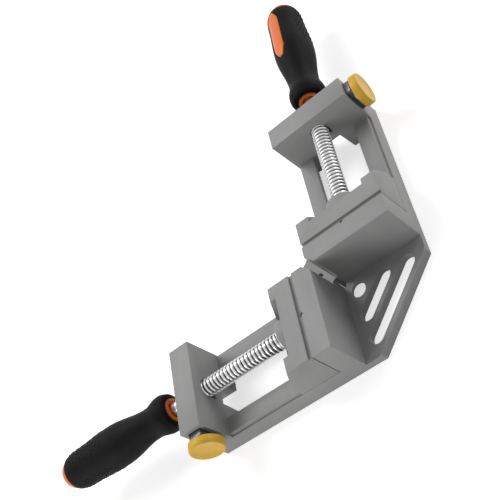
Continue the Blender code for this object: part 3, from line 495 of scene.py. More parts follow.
@dataclass(frozen=True)
class Workshop:
    """Turns bmeshes into finished pieces that ride on the clamp's bodies."""

    finishes: FinishBook

    @staticmethod
    def turn(bm: bmesh.types.BMesh, profile: Profile, centre: Vector, steps: int,
             ring: bool = False) -> None:
        """Spin a profile about the arm's direction.

        Args:
            bm: The mesh that gets the turned shape.
            profile: Pairs of distance along the axis and radius.
            centre: A point on the axis; distances count from it.
            steps: Sides round the axis.
            ring: Whether the profile closes on itself.
        """
        start = [bm.verts.new(centre + Vector((along, 0.0, radius))) for along, radius in profile]
        edges = [bm.edges.new(pair) for pair in zip(start, start[1:])]
        if ring:
            edges.append(bm.edges.new((start[-1], start[0])))
        bmesh.ops.spin(bm, geom=start + edges, cent=centre, axis=(1, 0, 0), angle=2 * math.pi,
                       steps=steps, use_merge=True)
        bmesh.ops.remove_doubles(bm, verts=bm.verts, dist=0.0005 * MM)

    @staticmethod
    def copy(node: str) -> bmesh.types.BMesh:
        """Return a copy of a CAD node's mesh."""
        bm = bmesh.new()
        bm.from_mesh(bpy.data.objects[node].data)
        return bm

    @staticmethod
    def prism(outline: Profile, low: float, high: float) -> bpy.types.Object:
        """Make an upright prism to carve with.

        Args:
            outline: Its corners from above.
            low: The height of its foot.
            high: The height of its top.

        Returns:
            The prism's object, which carve removes.
        """
        bm = bmesh.new()
        foot = bm.faces.new([bm.verts.new((x, y, low)) for x, y in outline])
        made = bmesh.ops.extrude_face_region(bm, geom=[foot])
        top = [item for item in made["geom"] if isinstance(item, bmesh.types.BMVert)]
        bmesh.ops.translate(bm, vec=(0, 0, high - low), verts=top)
        bmesh.ops.recalc_face_normals(bm, faces=bm.faces)
        return solid("prism", bm)

    @staticmethod
    def carve(bm: bmesh.types.BMesh, cuts: list[Cut]) -> bmesh.types.BMesh:
        """Join prisms to a mesh and cut others out of it, in turn.

        Args:
            bm: The mesh, which is freed.
            cuts: Each step's boolean operation, outline, foot and top.

        Returns:
            The carved mesh.
        """
        work = solid("carving", bm)
        tools = []
        for operation, outline, low, high in cuts:
            tool = Workshop.prism(outline, low, high)
            tools.append(tool)
            modifier = work.modifiers.new(operation, "BOOLEAN")
            modifier.operation = operation
            modifier.object = tool
            modifier.solver = "EXACT"
        carved = bmesh.new()
        carved.from_object(work, bpy.context.evaluated_depsgraph_get())
        for item in (work, *tools):
            bpy.data.objects.remove(item)
        return carved

    @staticmethod
    def rounded(bm: bmesh.types.BMesh, width: float) -> bmesh.types.BMesh:
        """Round the sharp edges of a mesh.

        Args:
            bm: The mesh, which is freed.
            width: How far the rounding reaches from each edge.

        Returns:
            The rounded mesh, with a face mark named edge on the roundings. A face too narrow for
            the rounding keeps its edges sharp.
        """
        bmesh.ops.remove_doubles(bm, verts=bm.verts, dist=0.002 * MM)
        bmesh.ops.dissolve_limit(bm, angle_limit=FLAT, verts=bm.verts, edges=bm.edges)
        loose = [vert for vert in bm.verts if len(vert.link_edges) == 2
                 and all(edge.calc_face_angle() < FLAT for edge in vert.link_edges)]
        bmesh.ops.dissolve_verts(bm, verts=loose)
        bm.faces.layers.float.new("edge")
        home = bm.faces.layers.int.new("home")
        for number, face in enumerate(bm.faces):
            face[home] = number
        spared: set[int] = set()
        most_trials = 6
        for _ in range(most_trials):
            trial = bm.copy()
            mark = trial.faces.layers.float["edge"]
            home = trial.faces.layers.int["home"]
            sharp = [edge for edge in trial.edges
                     if len(edge.link_faces) == 2 and edge.calc_face_angle() > SHARP
                     and not any(face[home] in spared for face in edge.link_faces)]
            made = bmesh.ops.bevel(trial, geom=sharp, offset=width, offset_type="OFFSET",
                                   segments=ROUND_STEPS, profile=0.5, affect="EDGES",
                                   clamp_overlap=False, material=-1)
            for face in made["faces"]:
                face[mark] = 1.0
            turned = Workshop.turned_over(trial)
            if turned <= spared:
                break
            spared |= turned
        bm.free()
        return trial

    @staticmethod
    def turned_over(bm: bmesh.types.BMesh) -> set[int]:
        """Return the home numbers of the faces that a rounding has folded over.

        Args:
            bm: The rounded mesh, whose faces have a home number.

        Returns:
            The numbers that the faces had before the rounding.
        """
        home = bm.faces.layers.int["home"]
        least = 0.01 * MM * MM
        found = set()
        for triangle in bm.calc_loop_triangles():
            first, second, third = (loop.vert.co for loop in triangle)
            face = triangle[0].face
            across = (second - first).cross(third - first)
            if across.length > least and across.dot(face.normal) < 0.0:
                found.add(face[home])
        return found

    def piece(self, bm: bmesh.types.BMesh, name: str, body: str, slot: Slot,
              stands_for: tuple[str, ...] = (), arm: Arm = Arm.A, smooth: float = 30.0) -> bpy.types.Object:
        """Make an object of a finished bmesh.

        Args:
            bm: The mesh, in the coordinates of the arm that is given.
            name: The object's name.
            body: The CAD body that it rides on.
            slot: The record's material slot.
            stands_for: The CAD nodes that it replaces.
            arm: The arm that it is mirrored onto, or arm a where it lies in its place already.
            smooth: The greatest angle that is shaded smooth, in degrees.

        Returns:
            The object.
        """
        if arm is Arm.B:
            bmesh.ops.transform(bm, matrix=SWAP, verts=bm.verts)
        bmesh.ops.recalc_face_normals(bm, faces=bm.faces)
        obj = solid(name, bm)
        obj.data.shade_smooth()
        obj.data.set_sharp_from_angle(angle=math.radians(smooth))
        obj.data.materials.append(self.finishes.of(slot, arm))
        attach(obj, body)
        if stands_for:
            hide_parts(*stands_for)
        LOG.info("%s: %d faces on body %s", name, len(obj.data.polygons), body)
        return obj

    def round_over(self, node: str, width: float, name: str, body: str, slot: Slot,
                   smooth: float = 30.0) -> None:
        """Replace a CAD node by a copy with rounded edges.

        Args:
            node: The CAD node.
            width: How far the rounding reaches from each edge.
            name: The new object's name.
            body: The CAD body that it rides on.
            slot: The record's material slot.
            smooth: The greatest angle that is shaded smooth, in degrees.
        """
        self.piece(self.rounded(self.copy(node), width), name, body, slot, (node,), smooth=smooth)

    def dress(self, node: str, slot: Slot) -> None:
        """Give a carried CAD node its finish."""
        obj = bpy.data.objects[node]
        obj.data.materials.clear()
        obj.data.materials.append(self.finishes.of(slot))
        LOG.info("%s: carried over in %s", node, slot.value)


@dataclass
class CastFrame:
    """The cast frame with its two arms, end blocks, fixed jaws and corner plate."""

    shop: Workshop
    edge_round: float = 0.24 * MM
    jaw_thick: float = 13.8 * MM
    jaw_clear: float = 0.3 * MM
    skirt: float = 4.0 * MM
    cad_floor: float = 4.0 * MM
    floor_top: float = 6.0 * MM
    floor_thick: float = 2.2 * MM
    corner_run: float = 26.0 * MM
    fill_length: float = 7.0 * MM
    lap: float = 0.5 * MM
    past: float = 1.0 * MM
    collar: float = 1.8 * MM
    collar_foot: float = 0.3 * MM
    widened: float = 0.12 * MM
    hole_at: float = 23.8 * MM
    hole_radius: float = 5.0 * MM
    slots: tuple[tuple[float, float], ...] = ((66.9 * MM, 35.8 * MM), (86.1 * MM, 58.8 * MM))
    slot_width: float = 10.2 * MM

    def slot(self, at: float, length: float, extra: float) -> Profile:
        """Return the outline of a round-ended slot across the plate.

        Args:
            at: How far its middle line is from the corner along each arm, added up.
            length: The CAD slot's length.
            extra: How far the outline lies outside the CAD slot.

        Returns:
            The outline's corners.
        """
        half = (length - self.slot_width) / 2 / math.sqrt(2)
        radius = self.slot_width / 2 + extra
        points = []
        for side, start in ((1, -135), (-1, 45)):
            for step in range(17):
                angle = math.radians(start + 180 * step / 16)
                points.append((-at / 2 + side * half + radius * math.cos(angle),
                               -at / 2 - side * half + radius * math.sin(angle)))
        return points

    def hole(self) -> Profile:
        """Return the outline of the plate's round hole."""
        radius = self.hole_radius + self.widened
        return [(radius * math.cos(turn) - self.hole_at, radius * math.sin(turn) - self.hole_at)
                for turn in (math.radians(7.5 * step) for step in range(48))]

    def plate(self) -> list[Cut]:
        """Return the cuts that thin the corner plate, widen its holes and put collars round its slots."""
        outer = Span.of("frame").low.y
        side = -self.jaw_thick - self.skirt
        wall = outer + self.skirt
        line = self.corner_run - outer - self.skirt * math.sqrt(2)
        foot_corner = -(line + wall)
        hollow = [(side, side), (side, wall), (foot_corner, wall), (wall, foot_corner), (wall, side)]
        fill_from = side + self.lap
        fill_to = side - self.fill_length
        fill = [(fill_from, outer), (fill_from, wall), (fill_to, wall), (fill_to, outer)]
        fill_top = self.floor_top - self.cad_floor + self.lap
        near = -self.jaw_thick - self.jaw_clear
        far = -self.hole_at - self.hole_radius
        clear = [(near, near), (far, near), (far, far), (near, far)]
        under = self.floor_top - self.floor_thick
        above = self.floor_top + self.past
        cuts = [("UNION", fill, 0.0, fill_top), ("UNION", [(y, x) for x, y in fill], 0.0, fill_top),
                ("DIFFERENCE", hollow, -self.past, under), ("DIFFERENCE", clear, -self.past, under)]
        for at, length in self.slots:
            cuts.append(("UNION", self.slot(at, length, self.widened + self.collar), self.collar_foot,
                         under + self.floor_thick / 2))
        for at, length in self.slots:
            cuts.append(("DIFFERENCE", self.slot(at, length, self.widened), -self.past, above))
        cuts.append(("DIFFERENCE", self.hole(), -self.past, above))
        return cuts

    def build(self) -> None:
        """Finish the corner plate, round the casting's edges and enamel it."""
        bm = self.shop.rounded(self.shop.carve(self.shop.copy("frame"), self.plate()), self.edge_round)
        self.shop.piece(bm, "cast_frame", "frame", Slot.CAST, ("frame",), smooth=28.0)


@dataclass
class JawCarriage:
    """A moving jaw with its keeper plate, screws, washer and spindle pin."""

    shop: Workshop
    arm: Arm
    edge_round: float = 0.3 * MM
    plate_round: float = 0.35 * MM
    socket_across: float = 3.0 * MM
    socket_depth: float = 1.6 * MM
    socket_chamfer: float = 0.12 * MM
    stem_share: float = 0.58
    stem_chamfer: float = 0.5 * MM
    head_curve: tuple[tuple[float, float], ...] = (
        (0.0, 0.62), (0.45 * MM, 0.84), (1.1 * MM, 0.96), (1.9 * MM, 1.0), (2.8 * MM, 1.0))

    def build(self) -> None:
        """Build the pieces that slide with the jaw."""
        own = self.arm.node
        self.shop.round_over(own("moving_jaw"), self.edge_round, own("jaw_casting"), own("jaw"),
                             Slot.CAST, smooth=28.0)
        self.shop.round_over(own("keeper"), self.plate_round, own("keeper_plate"), own("jaw"), Slot.STEEL)
        for count in (1, 2):
            self.keeper_screw(count)
        for name in ("washer", "spindle_pin"):
            self.shop.dress(own(name), Slot.STEEL)

    def keeper_screw(self, count: int) -> None:
        """Build one button-head screw with a hexagon socket, head down.

        Args:
            count: Which of the jaw's two screws it is.
        """
        own = self.arm.node
        node = f"{own('keeper_screw')}_{count}"
        span = Span.of(node, self.arm)
        middle = span.middle
        head = (span.high.x - span.low.x) / 2
        length = span.high.z - span.low.z
        stem = head * self.stem_share
        socket = self.socket_across / math.sqrt(3)
        profile = [(self.socket_depth, 0.0), (self.socket_depth, socket), (self.socket_chamfer, socket),
                   (0.0, socket + self.socket_chamfer),
                   *((rise, head * share) for rise, share in self.head_curve),
                   (self.head_curve[-1][0], stem), (length - self.stem_chamfer, stem),
                   (length, stem - self.stem_chamfer), (length, 0.0)]
        bm = bmesh.new()
        Workshop.turn(bm, profile, Vector((0, 0, 0)), 36)
        slack = 0.05 * MM
        for vert in bm.verts:
            reach = math.hypot(vert.co.y, vert.co.z)
            if 2 * slack < reach < socket + slack and vert.co.x <= self.socket_depth + 0.001 * MM:
                turn = math.atan2(vert.co.z, vert.co.y) % (math.pi / 3) - math.pi / 6
                scale = math.cos(math.pi / 6) / math.cos(turn)
                vert.co.y *= scale
                vert.co.z *= scale
        upright = Matrix.Rotation(-math.pi / 2, 4, "Y")
        bmesh.ops.transform(bm, matrix=Matrix.Translation((middle.x, middle.y, span.low.z)) @ upright,
                            verts=bm.verts)
        self.shop.piece(bm, f"{own('button_screw')}_{count}", own("jaw"), Slot.STEEL, (node,), self.arm)


@dataclass
class Spindle:
    """A spindle with its real thread, pinned neck and smooth shank."""

    shop: Workshop
    arm: Arm
    pitch: float = 3.0 * MM
    crest: float = 6.0 * MM
    root: float = 4.95 * MM
    neck: float = 4.2 * MM
    catch: float = 3.0 * MM
    catch_from: float = 2.8 * MM
    catch_width: float = 3.4 * MM
    shank: float = 4.5 * MM
    neck_length: float = 14.5 * MM
    shank_length: float = 62.0 * MM
    run_out: float = 5.6 * MM
    lap: float = 3.0 * MM
    chamfer: float = 0.8 * MM
    end_slope: float = 0.9
    sides: int = 40

    def thread(self, bm: bmesh.types.BMesh, centre: Vector, start: float, end: float) -> None:
        """Spin one pitch of the thread's section into a right-hand thread.

        Args:
            bm: The mesh that gets the thread.
            centre: A point on the spindle's axis.
            start: Where the thread starts along the arm.
            end: Where it ends.
        """
        section = ((0.0, 0.0), (0.12, 0.04), (0.34, 0.84), (0.42, 1.0), (0.66, 1.0), (0.74, 0.84),
                   (0.92, 0.08), (1.0, 0.0))
        first = start - 1.5 * self.pitch
        verts = [bm.verts.new((first + share * self.pitch, centre.y,
                               centre.z + self.root + height * (self.crest - self.root)))
                 for share, height in section]
        edges = [bm.edges.new(pair) for pair in zip(verts, verts[1:])]
        turns = math.ceil((end - start) / self.pitch) + 2
        hand = 1.0 if self.arm is Arm.A else -1.0
        bmesh.ops.spin(bm, geom=verts + edges, cent=centre, axis=(1, 0, 0),
                       dvec=(self.pitch / self.sides, 0, 0), angle=hand * 2 * math.pi * turns,
                       steps=turns * self.sides)
        bmesh.ops.remove_doubles(bm, verts=bm.verts, dist=0.002 * MM)
        for place, side in ((start, -1.0), (end, 1.0)):
            bmesh.ops.bisect_plane(bm, geom=bm.verts[:] + bm.edges[:] + bm.faces[:],
                                   plane_co=(place, 0, 0), plane_no=(side, 0, 0), clear_outer=True)
        for vert in bm.verts:
            out = Vector((0.0, vert.co.y - centre.y, vert.co.z - centre.z))
            limit = self.shank + max(0.0, end - vert.co.x) * self.end_slope
            if out.length > limit:
                out *= limit / out.length
                vert.co.y = centre.y + out.y
                vert.co.z = centre.z + out.z
        rim = [edge for edge in bm.edges if edge.is_boundary]
        bmesh.ops.holes_fill(bm, edges=rim, sides=0)

    def build(self) -> None:
        """Build the spindle over its CAD node."""
        own = self.arm.node
        span = Span.of(own("spindle"), self.arm)
        start, end = span.low.x, span.high.x
        centre = Vector((0.0, span.middle.y, span.middle.z))
        shoulder = start + self.neck_length
        thread_end = end - self.shank_length - self.run_out
        bm = bmesh.new()
        self.thread(bm, centre, shoulder, thread_end)
        near = start + self.catch_from
        far = near + self.catch_width
        inside = shoulder + self.lap
        Workshop.turn(bm, [(inside, 0.0), (inside, self.neck), (far, self.neck), (far, self.catch),
                           (near, self.catch), (near, self.neck), (start + self.chamfer, self.neck),
                           (start, self.neck - self.chamfer), (start, 0.0)], centre, 48)
        inside = thread_end - self.lap
        Workshop.turn(bm, [(end, 0.0), (end, self.shank - self.chamfer), (end - self.chamfer, self.shank),
                           (inside, self.shank), (inside, 0.0)], centre, 48)
        self.shop.piece(bm, own("screw_spindle"), own("spindle"), Slot.ZINC, (own("spindle"),),
                        self.arm, smooth=40.0)


@dataclass
class Handle:
    """A handle: orange core and ferrule, black grip with raised dots, inlay and butt cap."""

    shop: Workshop
    arm: Arm
    length: float = 108.0 * MM
    ferrule: float = 8.0 * MM
    ferrule_length: float = 6.0 * MM
    ferrule_dish: tuple[tuple[float, float], ...] = (
        (0.9 * MM, 0.0), (0.3 * MM, 0.2 * MM), (0.0, 0.8 * MM), (0.0, 1.7 * MM), (0.25 * MM, 2.0 * MM),
        (1.3 * MM, 2.3 * MM))
    core: float = 6.5 * MM
    hole: float = 4.85 * MM
    hole_chamfer: tuple[float, float] = (0.4 * MM, 0.3 * MM)
    hole_from: float = 2.0 * MM
    face: float = 1.2 * MM
    bore_wall: float = 1.2 * MM
    mouth: float = 10.9 * MM
    collar: float = 13.4 * MM
    collar_at: float = 7.5 * MM
    waist: float = 11.2 * MM
    waist_at: float = 20.0 * MM
    belly: float = 14.9 * MM
    belly_at: float = 56.0 * MM
    shoulder: float = 13.6 * MM
    crown: float = 11.4 * MM
    crown_round: float = 12.0 * MM
    crown_wall: float = 1.9 * MM
    butt_dome: float = 8.5 * MM
    butt_depth: float = 6.0 * MM
    butt_inset: float = 0.4 * MM
    butt_chamfer: float = 0.25 * MM
    inlay_half: float = 5.2 * MM
    inlay_end: float = 0.4
    inlay_point: float = 8.0 * MM
    inlay_proud: float = 0.25 * MM
    inlay_round: float = 0.7 * MM
    inlay_drop: float = 0.45 * MM
    inlay_skirt: float = 1.0 * MM
    inlay_rows: int = 80
    inlay_columns: int = 18
    recess_margin: float = 0.55 * MM
    recess_slope: float = 0.5 * MM
    recess_depth: float = 1.3 * MM
    lip: float = 0.8 * MM
    dot_pitch: float = 3.1 * MM
    dot_radius: float = 0.95 * MM
    dot_flat: float = 0.55
    dot_sunk: float = 0.12 * MM
    dot_from: float = 60.0 * MM
    dot_rows: int = 12
    dot_columns: int = 6
    dot_shift: float = 0.25
    dot_spread: float = 1.06
    dot_taper: float = 0.5
    dot_widest: float = 0.45
    dot_angle: float = 115.0
    flutes: int = 4
    flute_depth: float = 0.45 * MM
    flute_past: float = 8.0 * MM
    flute_reach: float = 13.0 * MM
    grip_steps: int = 150

    def __post_init__(self) -> None:
        """Work out the places that follow from the CAD nodes."""
        arm = self.arm
        core = Span.of(arm.node("handle_core"), arm)
        inlay = Span.of(arm.node("handle_inlay"), arm)
        self.base = core.low.x
        self.centre = Vector((self.base, core.middle.y, core.middle.z))
        self.inlay_from = inlay.low.x - self.base
        self.inlay_to = inlay.high.x - self.base
        facing = inlay.middle - self.centre
        self.facing = math.atan2(facing.y, facing.z)
        self.crown_at = self.length - self.butt_dome
        self.shoulder_at = self.crown_at - self.crown_round
        self.crown_bore = self.crown - self.crown_wall

    def piece(self, bm: bmesh.types.BMesh, name: str, slot: Slot, replaced: tuple[str, ...],
              smooth: float = 30.0) -> None:
        """Hand over a piece of the handle, which rides on its spindle.

        Args:
            bm: The mesh, in arm a's coordinates.
            name: The object's name without its arm.
            slot: The record's material slot.
            replaced: The CAD nodes that it replaces, without their arm.
            smooth: The greatest angle that is shaded smooth, in degrees.
        """
        own = self.arm.node
        nodes = tuple(own(node) for node in replaced)
        self.shop.piece(bm, own(name), own("spindle"), slot, nodes, self.arm, smooth)

    def radius(self, along: float) -> float:
        """Return the grip's outer radius.

        Args:
            along: The distance from the grip's base.

        Returns:
            The radius.
        """
        if along >= self.shoulder_at:
            share = min((along - self.shoulder_at) / self.crown_round, 1.0)
            return self.shoulder - (self.shoulder - self.crown) * (1 - math.sqrt(max(0.0, 1 - share ** 2)))
        stations = ((0.0, self.mouth), (self.collar_at, self.collar), (self.waist_at, self.waist),
                    (self.belly_at, self.belly), (self.shoulder_at, self.shoulder))
        for (start, first), (end, second) in zip(stations, stations[1:]):
            if along <= end:
                share = (along - start) / (end - start)
                if start == 0.0:
                    return first + (second - first) * math.sin(share * math.pi / 2)
                return first + (second - first) * (1 - math.cos(share * math.pi)) / 2
        return self.shoulder

    def inlay_width(self, along: float) -> float:
        """Return half the inlay's width at a distance from the base."""
        near = min(along - self.inlay_from, self.inlay_to - along)
        share = max(0.0, min(near / self.inlay_point, 1.0))
        return self.inlay_half * (self.inlay_end + (1 - self.inlay_end) * share)

    def on_surface(self, along: float, across: float, radius: float) -> Vector:
        """Return a point at an angle from the inlay's middle, in radians."""
        angle = self.facing + across
        return self.centre + Vector((along, radius * math.sin(angle), radius * math.cos(angle)))

    def recess(self, along: float, across: float, radius: float) -> float:
        """Return how far the grip sinks round the inlay.

        Args:
            along: The distance from the grip's base.
            across: The angle from the inlay's middle, in radians.
            radius: The grip's radius there.

        Returns:
            The depth of the recess.
        """
        if abs(across) > 1.0:
            return 0.0
        side = abs(radius * math.sin(across)) - self.inlay_width(along)
        ends = max(self.inlay_from - along, along - self.inlay_to)
        share = max(0.0, min((self.recess_margin - max(side, ends)) / self.recess_slope, 1.0))
        return self.recess_depth * share * share * (3 - 2 * share)

    def grip(self) -> None:
        """Build the rubber grip with its flutes and the recess for the inlay."""
        outer = []
        for step in range(self.grip_steps, -1, -1):
            along = self.face + (self.crown_at - self.face) * step / self.grip_steps
            radius = self.radius(along)
            near = along - self.face
            if near < self.lip:
                radius -= self.lip * (1 - math.sqrt(max(0.0, 1 - (1 - near / self.lip) ** 2)))
            outer.append((along, radius))
        seat = self.crown_at - self.butt_depth
        step_at = self.ferrule_length + FIT
        profile = [(self.crown_at, self.crown_bore), *outer, (self.face, self.ferrule + FIT),
                   (step_at, self.ferrule + FIT), (step_at, self.core + FIT), (seat, self.core + FIT),
                   (seat, self.crown_bore)]
        bm = bmesh.new()
        Workshop.turn(bm, profile, self.centre, 160, ring=True)
        for vert in bm.verts:
            place = vert.co - self.centre
            reach = math.hypot(place.y, place.z)
            if reach < self.ferrule + self.bore_wall:
                continue
            across = math.atan2(place.y, place.z) - self.facing
            across = (across + math.pi) % (2 * math.pi) - math.pi
            neck = math.exp(-((place.x - self.waist_at - self.flute_past) / self.flute_reach) ** 2)
            sunk = self.flute_depth * neck * (0.5 + 0.5 * math.cos(self.flutes * across))
            sunk += self.recess(place.x, across, reach)
            vert.co.y -= place.y / reach * sunk
            vert.co.z -= place.z / reach * sunk
        self.piece(bm, "grip", Slot.RUBBER, ("handle_grip",), 50.0)

    def dots(self) -> None:
        """Build the two patches of raised dots on the grip's sides."""
        bm = bmesh.new()
        half_columns = self.dot_columns / 2
        for row in range(self.dot_rows):
            for column in range(self.dot_columns):
                shift = self.dot_shift * (-1) ** row
                offset = (column - (self.dot_columns - 1) / 2 + shift) * self.dot_pitch
                share = abs(offset) / (self.dot_pitch * half_columns)
                place = abs(row / (self.dot_rows - 1) - self.dot_widest)
                if share <= self.dot_spread - self.dot_taper * place:
                    self.dot_pair(bm, self.dot_from + row * self.dot_pitch, offset)
        self.piece(bm, "grip_dots", Slot.RUBBER, (), 60.0)

    def dot_pair(self, bm: bmesh.types.BMesh, along: float, offset: float) -> None:
        """Build one raised dot on each side of the grip.

        Args:
            bm: The mesh that gets the dots.
            along: The distance from the grip's base.
            offset: The distance from the patch's middle line.
        """
        radius = self.radius(along)
        for side in (-1, 1):
            across = side * math.radians(self.dot_angle) + offset / radius
            made = bmesh.ops.create_uvsphere(bm, u_segments=10, v_segments=6, radius=self.dot_radius)
            bmesh.ops.scale(bm, vec=(1, 1, self.dot_flat), verts=made["verts"])
            turn = Matrix.Rotation(-(self.facing + across), 4, "X")
            place = Matrix.Translation(self.on_surface(along, across, radius - self.dot_sunk))
            bmesh.ops.transform(bm, matrix=place @ turn, verts=made["verts"])

    def inlay(self) -> None:
        """Build the raised orange inlay that follows the grip's surface."""
        bm = bmesh.new()
        bmesh.ops.create_grid(bm, x_segments=self.inlay_rows, y_segments=self.inlay_columns, size=0.5)
        for vert in bm.verts:
            share = vert.co.x + 0.5
            along = self.inlay_from + share * (self.inlay_to - self.inlay_from)
            half = self.inlay_width(along)
            side = vert.co.y * 2 * half
            near = min(along - self.inlay_from, self.inlay_to - along, half - abs(side))
            edge = max(0.0, 1 - near / self.inlay_round)
            radius = self.radius(along) + self.inlay_proud - self.inlay_drop * edge ** 2
            vert.co = self.on_surface(along, math.asin(side / radius), radius)
        rim = [edge for edge in bm.edges if edge.is_boundary]
        skirt = bmesh.ops.extrude_edge_only(bm, edges=rim)
        for vert in (item for item in skirt["geom"] if isinstance(item, bmesh.types.BMVert)):
            place = vert.co - self.centre
            drop = self.inlay_skirt / math.hypot(place.y, place.z)
            vert.co -= Vector((0.0, place.y * drop, place.z * drop))
        rim = [edge for edge in bm.edges if edge.is_boundary]
        bmesh.ops.holes_fill(bm, edges=rim, sides=0)
        self.piece(bm, "inlay", Slot.ORANGE, ("handle_inlay",), 50.0)

    def core_and_ferrule(self) -> None:
        """Build the core with its dished ferrule and the hole for the spindle."""
        end = self.crown_at - self.butt_depth - FIT
        spindle = Span.of(self.arm.node("spindle"), self.arm)
        depth = spindle.high.x - self.base + FIT
        dish = [(along, self.ferrule - inset) for along, inset in self.ferrule_dish]
        back, wider = self.hole_chamfer
        profile = [(end, 0.0), (end, self.core), (self.ferrule_length, self.core),
                   (self.ferrule_length, self.ferrule), *dish, (self.hole_from - back, self.hole + wider),
                   (self.hole_from, self.hole), (depth, self.hole), (depth, 0.0)]
        bm = bmesh.new()
        Workshop.turn(bm, profile, self.centre, 72)
        self.piece(bm, "core", Slot.ORANGE, ("handle_core",))

    def butt(self) -> None:
        """Build the domed butt cap with the plug that sits in the grip."""
        rim = self.crown - self.butt_inset
        plug = self.crown_bore - FIT
        seat = self.crown_at + FIT
        foot = self.crown_at - self.butt_depth + FIT
        dome = [(self.crown_at + self.butt_dome * math.cos(angle), rim * math.sin(angle))
                for angle in (math.radians(7.5 * step) for step in range(12))]
        profile = [*dome, (seat + self.butt_chamfer, rim), (seat, rim - self.butt_chamfer), (seat, plug),
                   (foot, plug), (foot, 0.0)]
        bm = bmesh.new()
        Workshop.turn(bm, profile, self.centre, 72)
        self.piece(bm, "butt_cap", Slot.ORANGE, ("handle_butt",))

    def build(self) -> None:
        """Build the whole handle."""
        self.core_and_ferrule()
        self.butt()
        self.shop.dress(self.arm.node("handle_pin"), Slot.STEEL)
        self.grip()
        self.dots()
        self.inlay()


@dataclass
class ReleaseButton:
    """The quick-release slide with its cap, spring and stop screw."""

    shop: Workshop
    arm: Arm
    edge_round: float = 0.3 * MM
    wire: float = 0.8 * MM
    turns: int = 5
    turn_steps: int = 28
    cap_round: float = 1.2 * MM
    cap_front: float = 2.4 * MM
    cap_wall: float = 1.65 * MM
    dish_depth: float = 0.35 * MM
    dish_lip: float = 0.12 * MM
    dish_floor_share: float = 0.78
    dish_rim_share: float = 0.83

    def cap(self) -> None:
        """Build the yellow cap with a shallow dished face."""
        own = self.arm.node
        span = Span.of(own("release_cap"), self.arm)
        radius = (span.high.x - span.low.x) / 2
        length = span.high.y - span.low.y
        deep = length - self.cap_front
        socket = radius - self.cap_wall
        curve = [(length - self.cap_round + self.cap_round * math.sin(angle),
                  radius - self.cap_round + self.cap_round * math.cos(angle))
                 for angle in (math.radians(90 - 15 * step) for step in range(7))]
        profile = [(length - self.dish_depth, 0.0),
                   (length - self.dish_depth, radius * self.dish_floor_share),
                   (length - self.dish_lip, radius * self.dish_rim_share), *curve, (0.6 * MM, radius),
                   (0.15 * MM, radius - 0.2 * MM), (0.0, radius - 0.6 * MM), (0.0, socket),
                   (deep, socket), (deep, 0.0)]
        bm = bmesh.new()
        Workshop.turn(bm, profile, Vector((0, 0, 0)), 80)
        out = Matrix.Rotation(-math.pi / 2, 4, "Z")
        place = Matrix.Translation((span.middle.x, span.high.y, span.middle.z))
        bmesh.ops.transform(bm, matrix=place @ out, verts=bm.verts)
        self.shop.piece(bm, own("button_cap"), own("release"), Slot.YELLOW, (own("release_cap"),), self.arm)

    def spring(self) -> None:
        """Build the coil spring."""
        arm = self.arm
        span = Span.of(arm.node("release_spring"), arm)
        middle = span.middle
        length = span.high.y - span.low.y
        coil = (span.high.x - span.low.x) / 2 - self.wire / 2
        steps = self.turns * self.turn_steps
        start = Vector((middle.x + coil, span.low.y + self.wire / 2, middle.z))
        bm = bmesh.new()
        made = bmesh.ops.create_circle(bm, cap_ends=True, segments=12, radius=self.wire / 2)
        bmesh.ops.translate(bm, vec=start, verts=made["verts"])
        rise = (length - self.wire) / steps
        bmesh.ops.spin(bm, geom=bm.faces[:], cent=(middle.x, 0, middle.z), axis=(0, 1, 0),
                       dvec=(0, rise, 0), angle=2 * math.pi * self.turns, steps=steps)
        bmesh.ops.remove_doubles(bm, verts=bm.verts, dist=0.001 * MM)
        obj = self.shop.piece(bm, arm.node("button_spring"), "frame", Slot.STEEL,
                              (arm.node("release_spring"),), arm, smooth=60.0)
        axis = arm.local(Vector((0, 1, 0)))
        anchor = arm.local(Vector((middle.x, span.high.y, middle.z)))
        arm.node("release_push")
        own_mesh(obj)

    def build(self) -> None:
        """Build the button's pieces."""
        own = self.arm.node
        self.shop.round_over(own("release_slide"), self.edge_round, own("button_slide"), own("release"),
                             Slot.DARK)
        self.cap()
        self.spring()
        self.shop.dress(own("stop_screw"), Slot.STEEL)


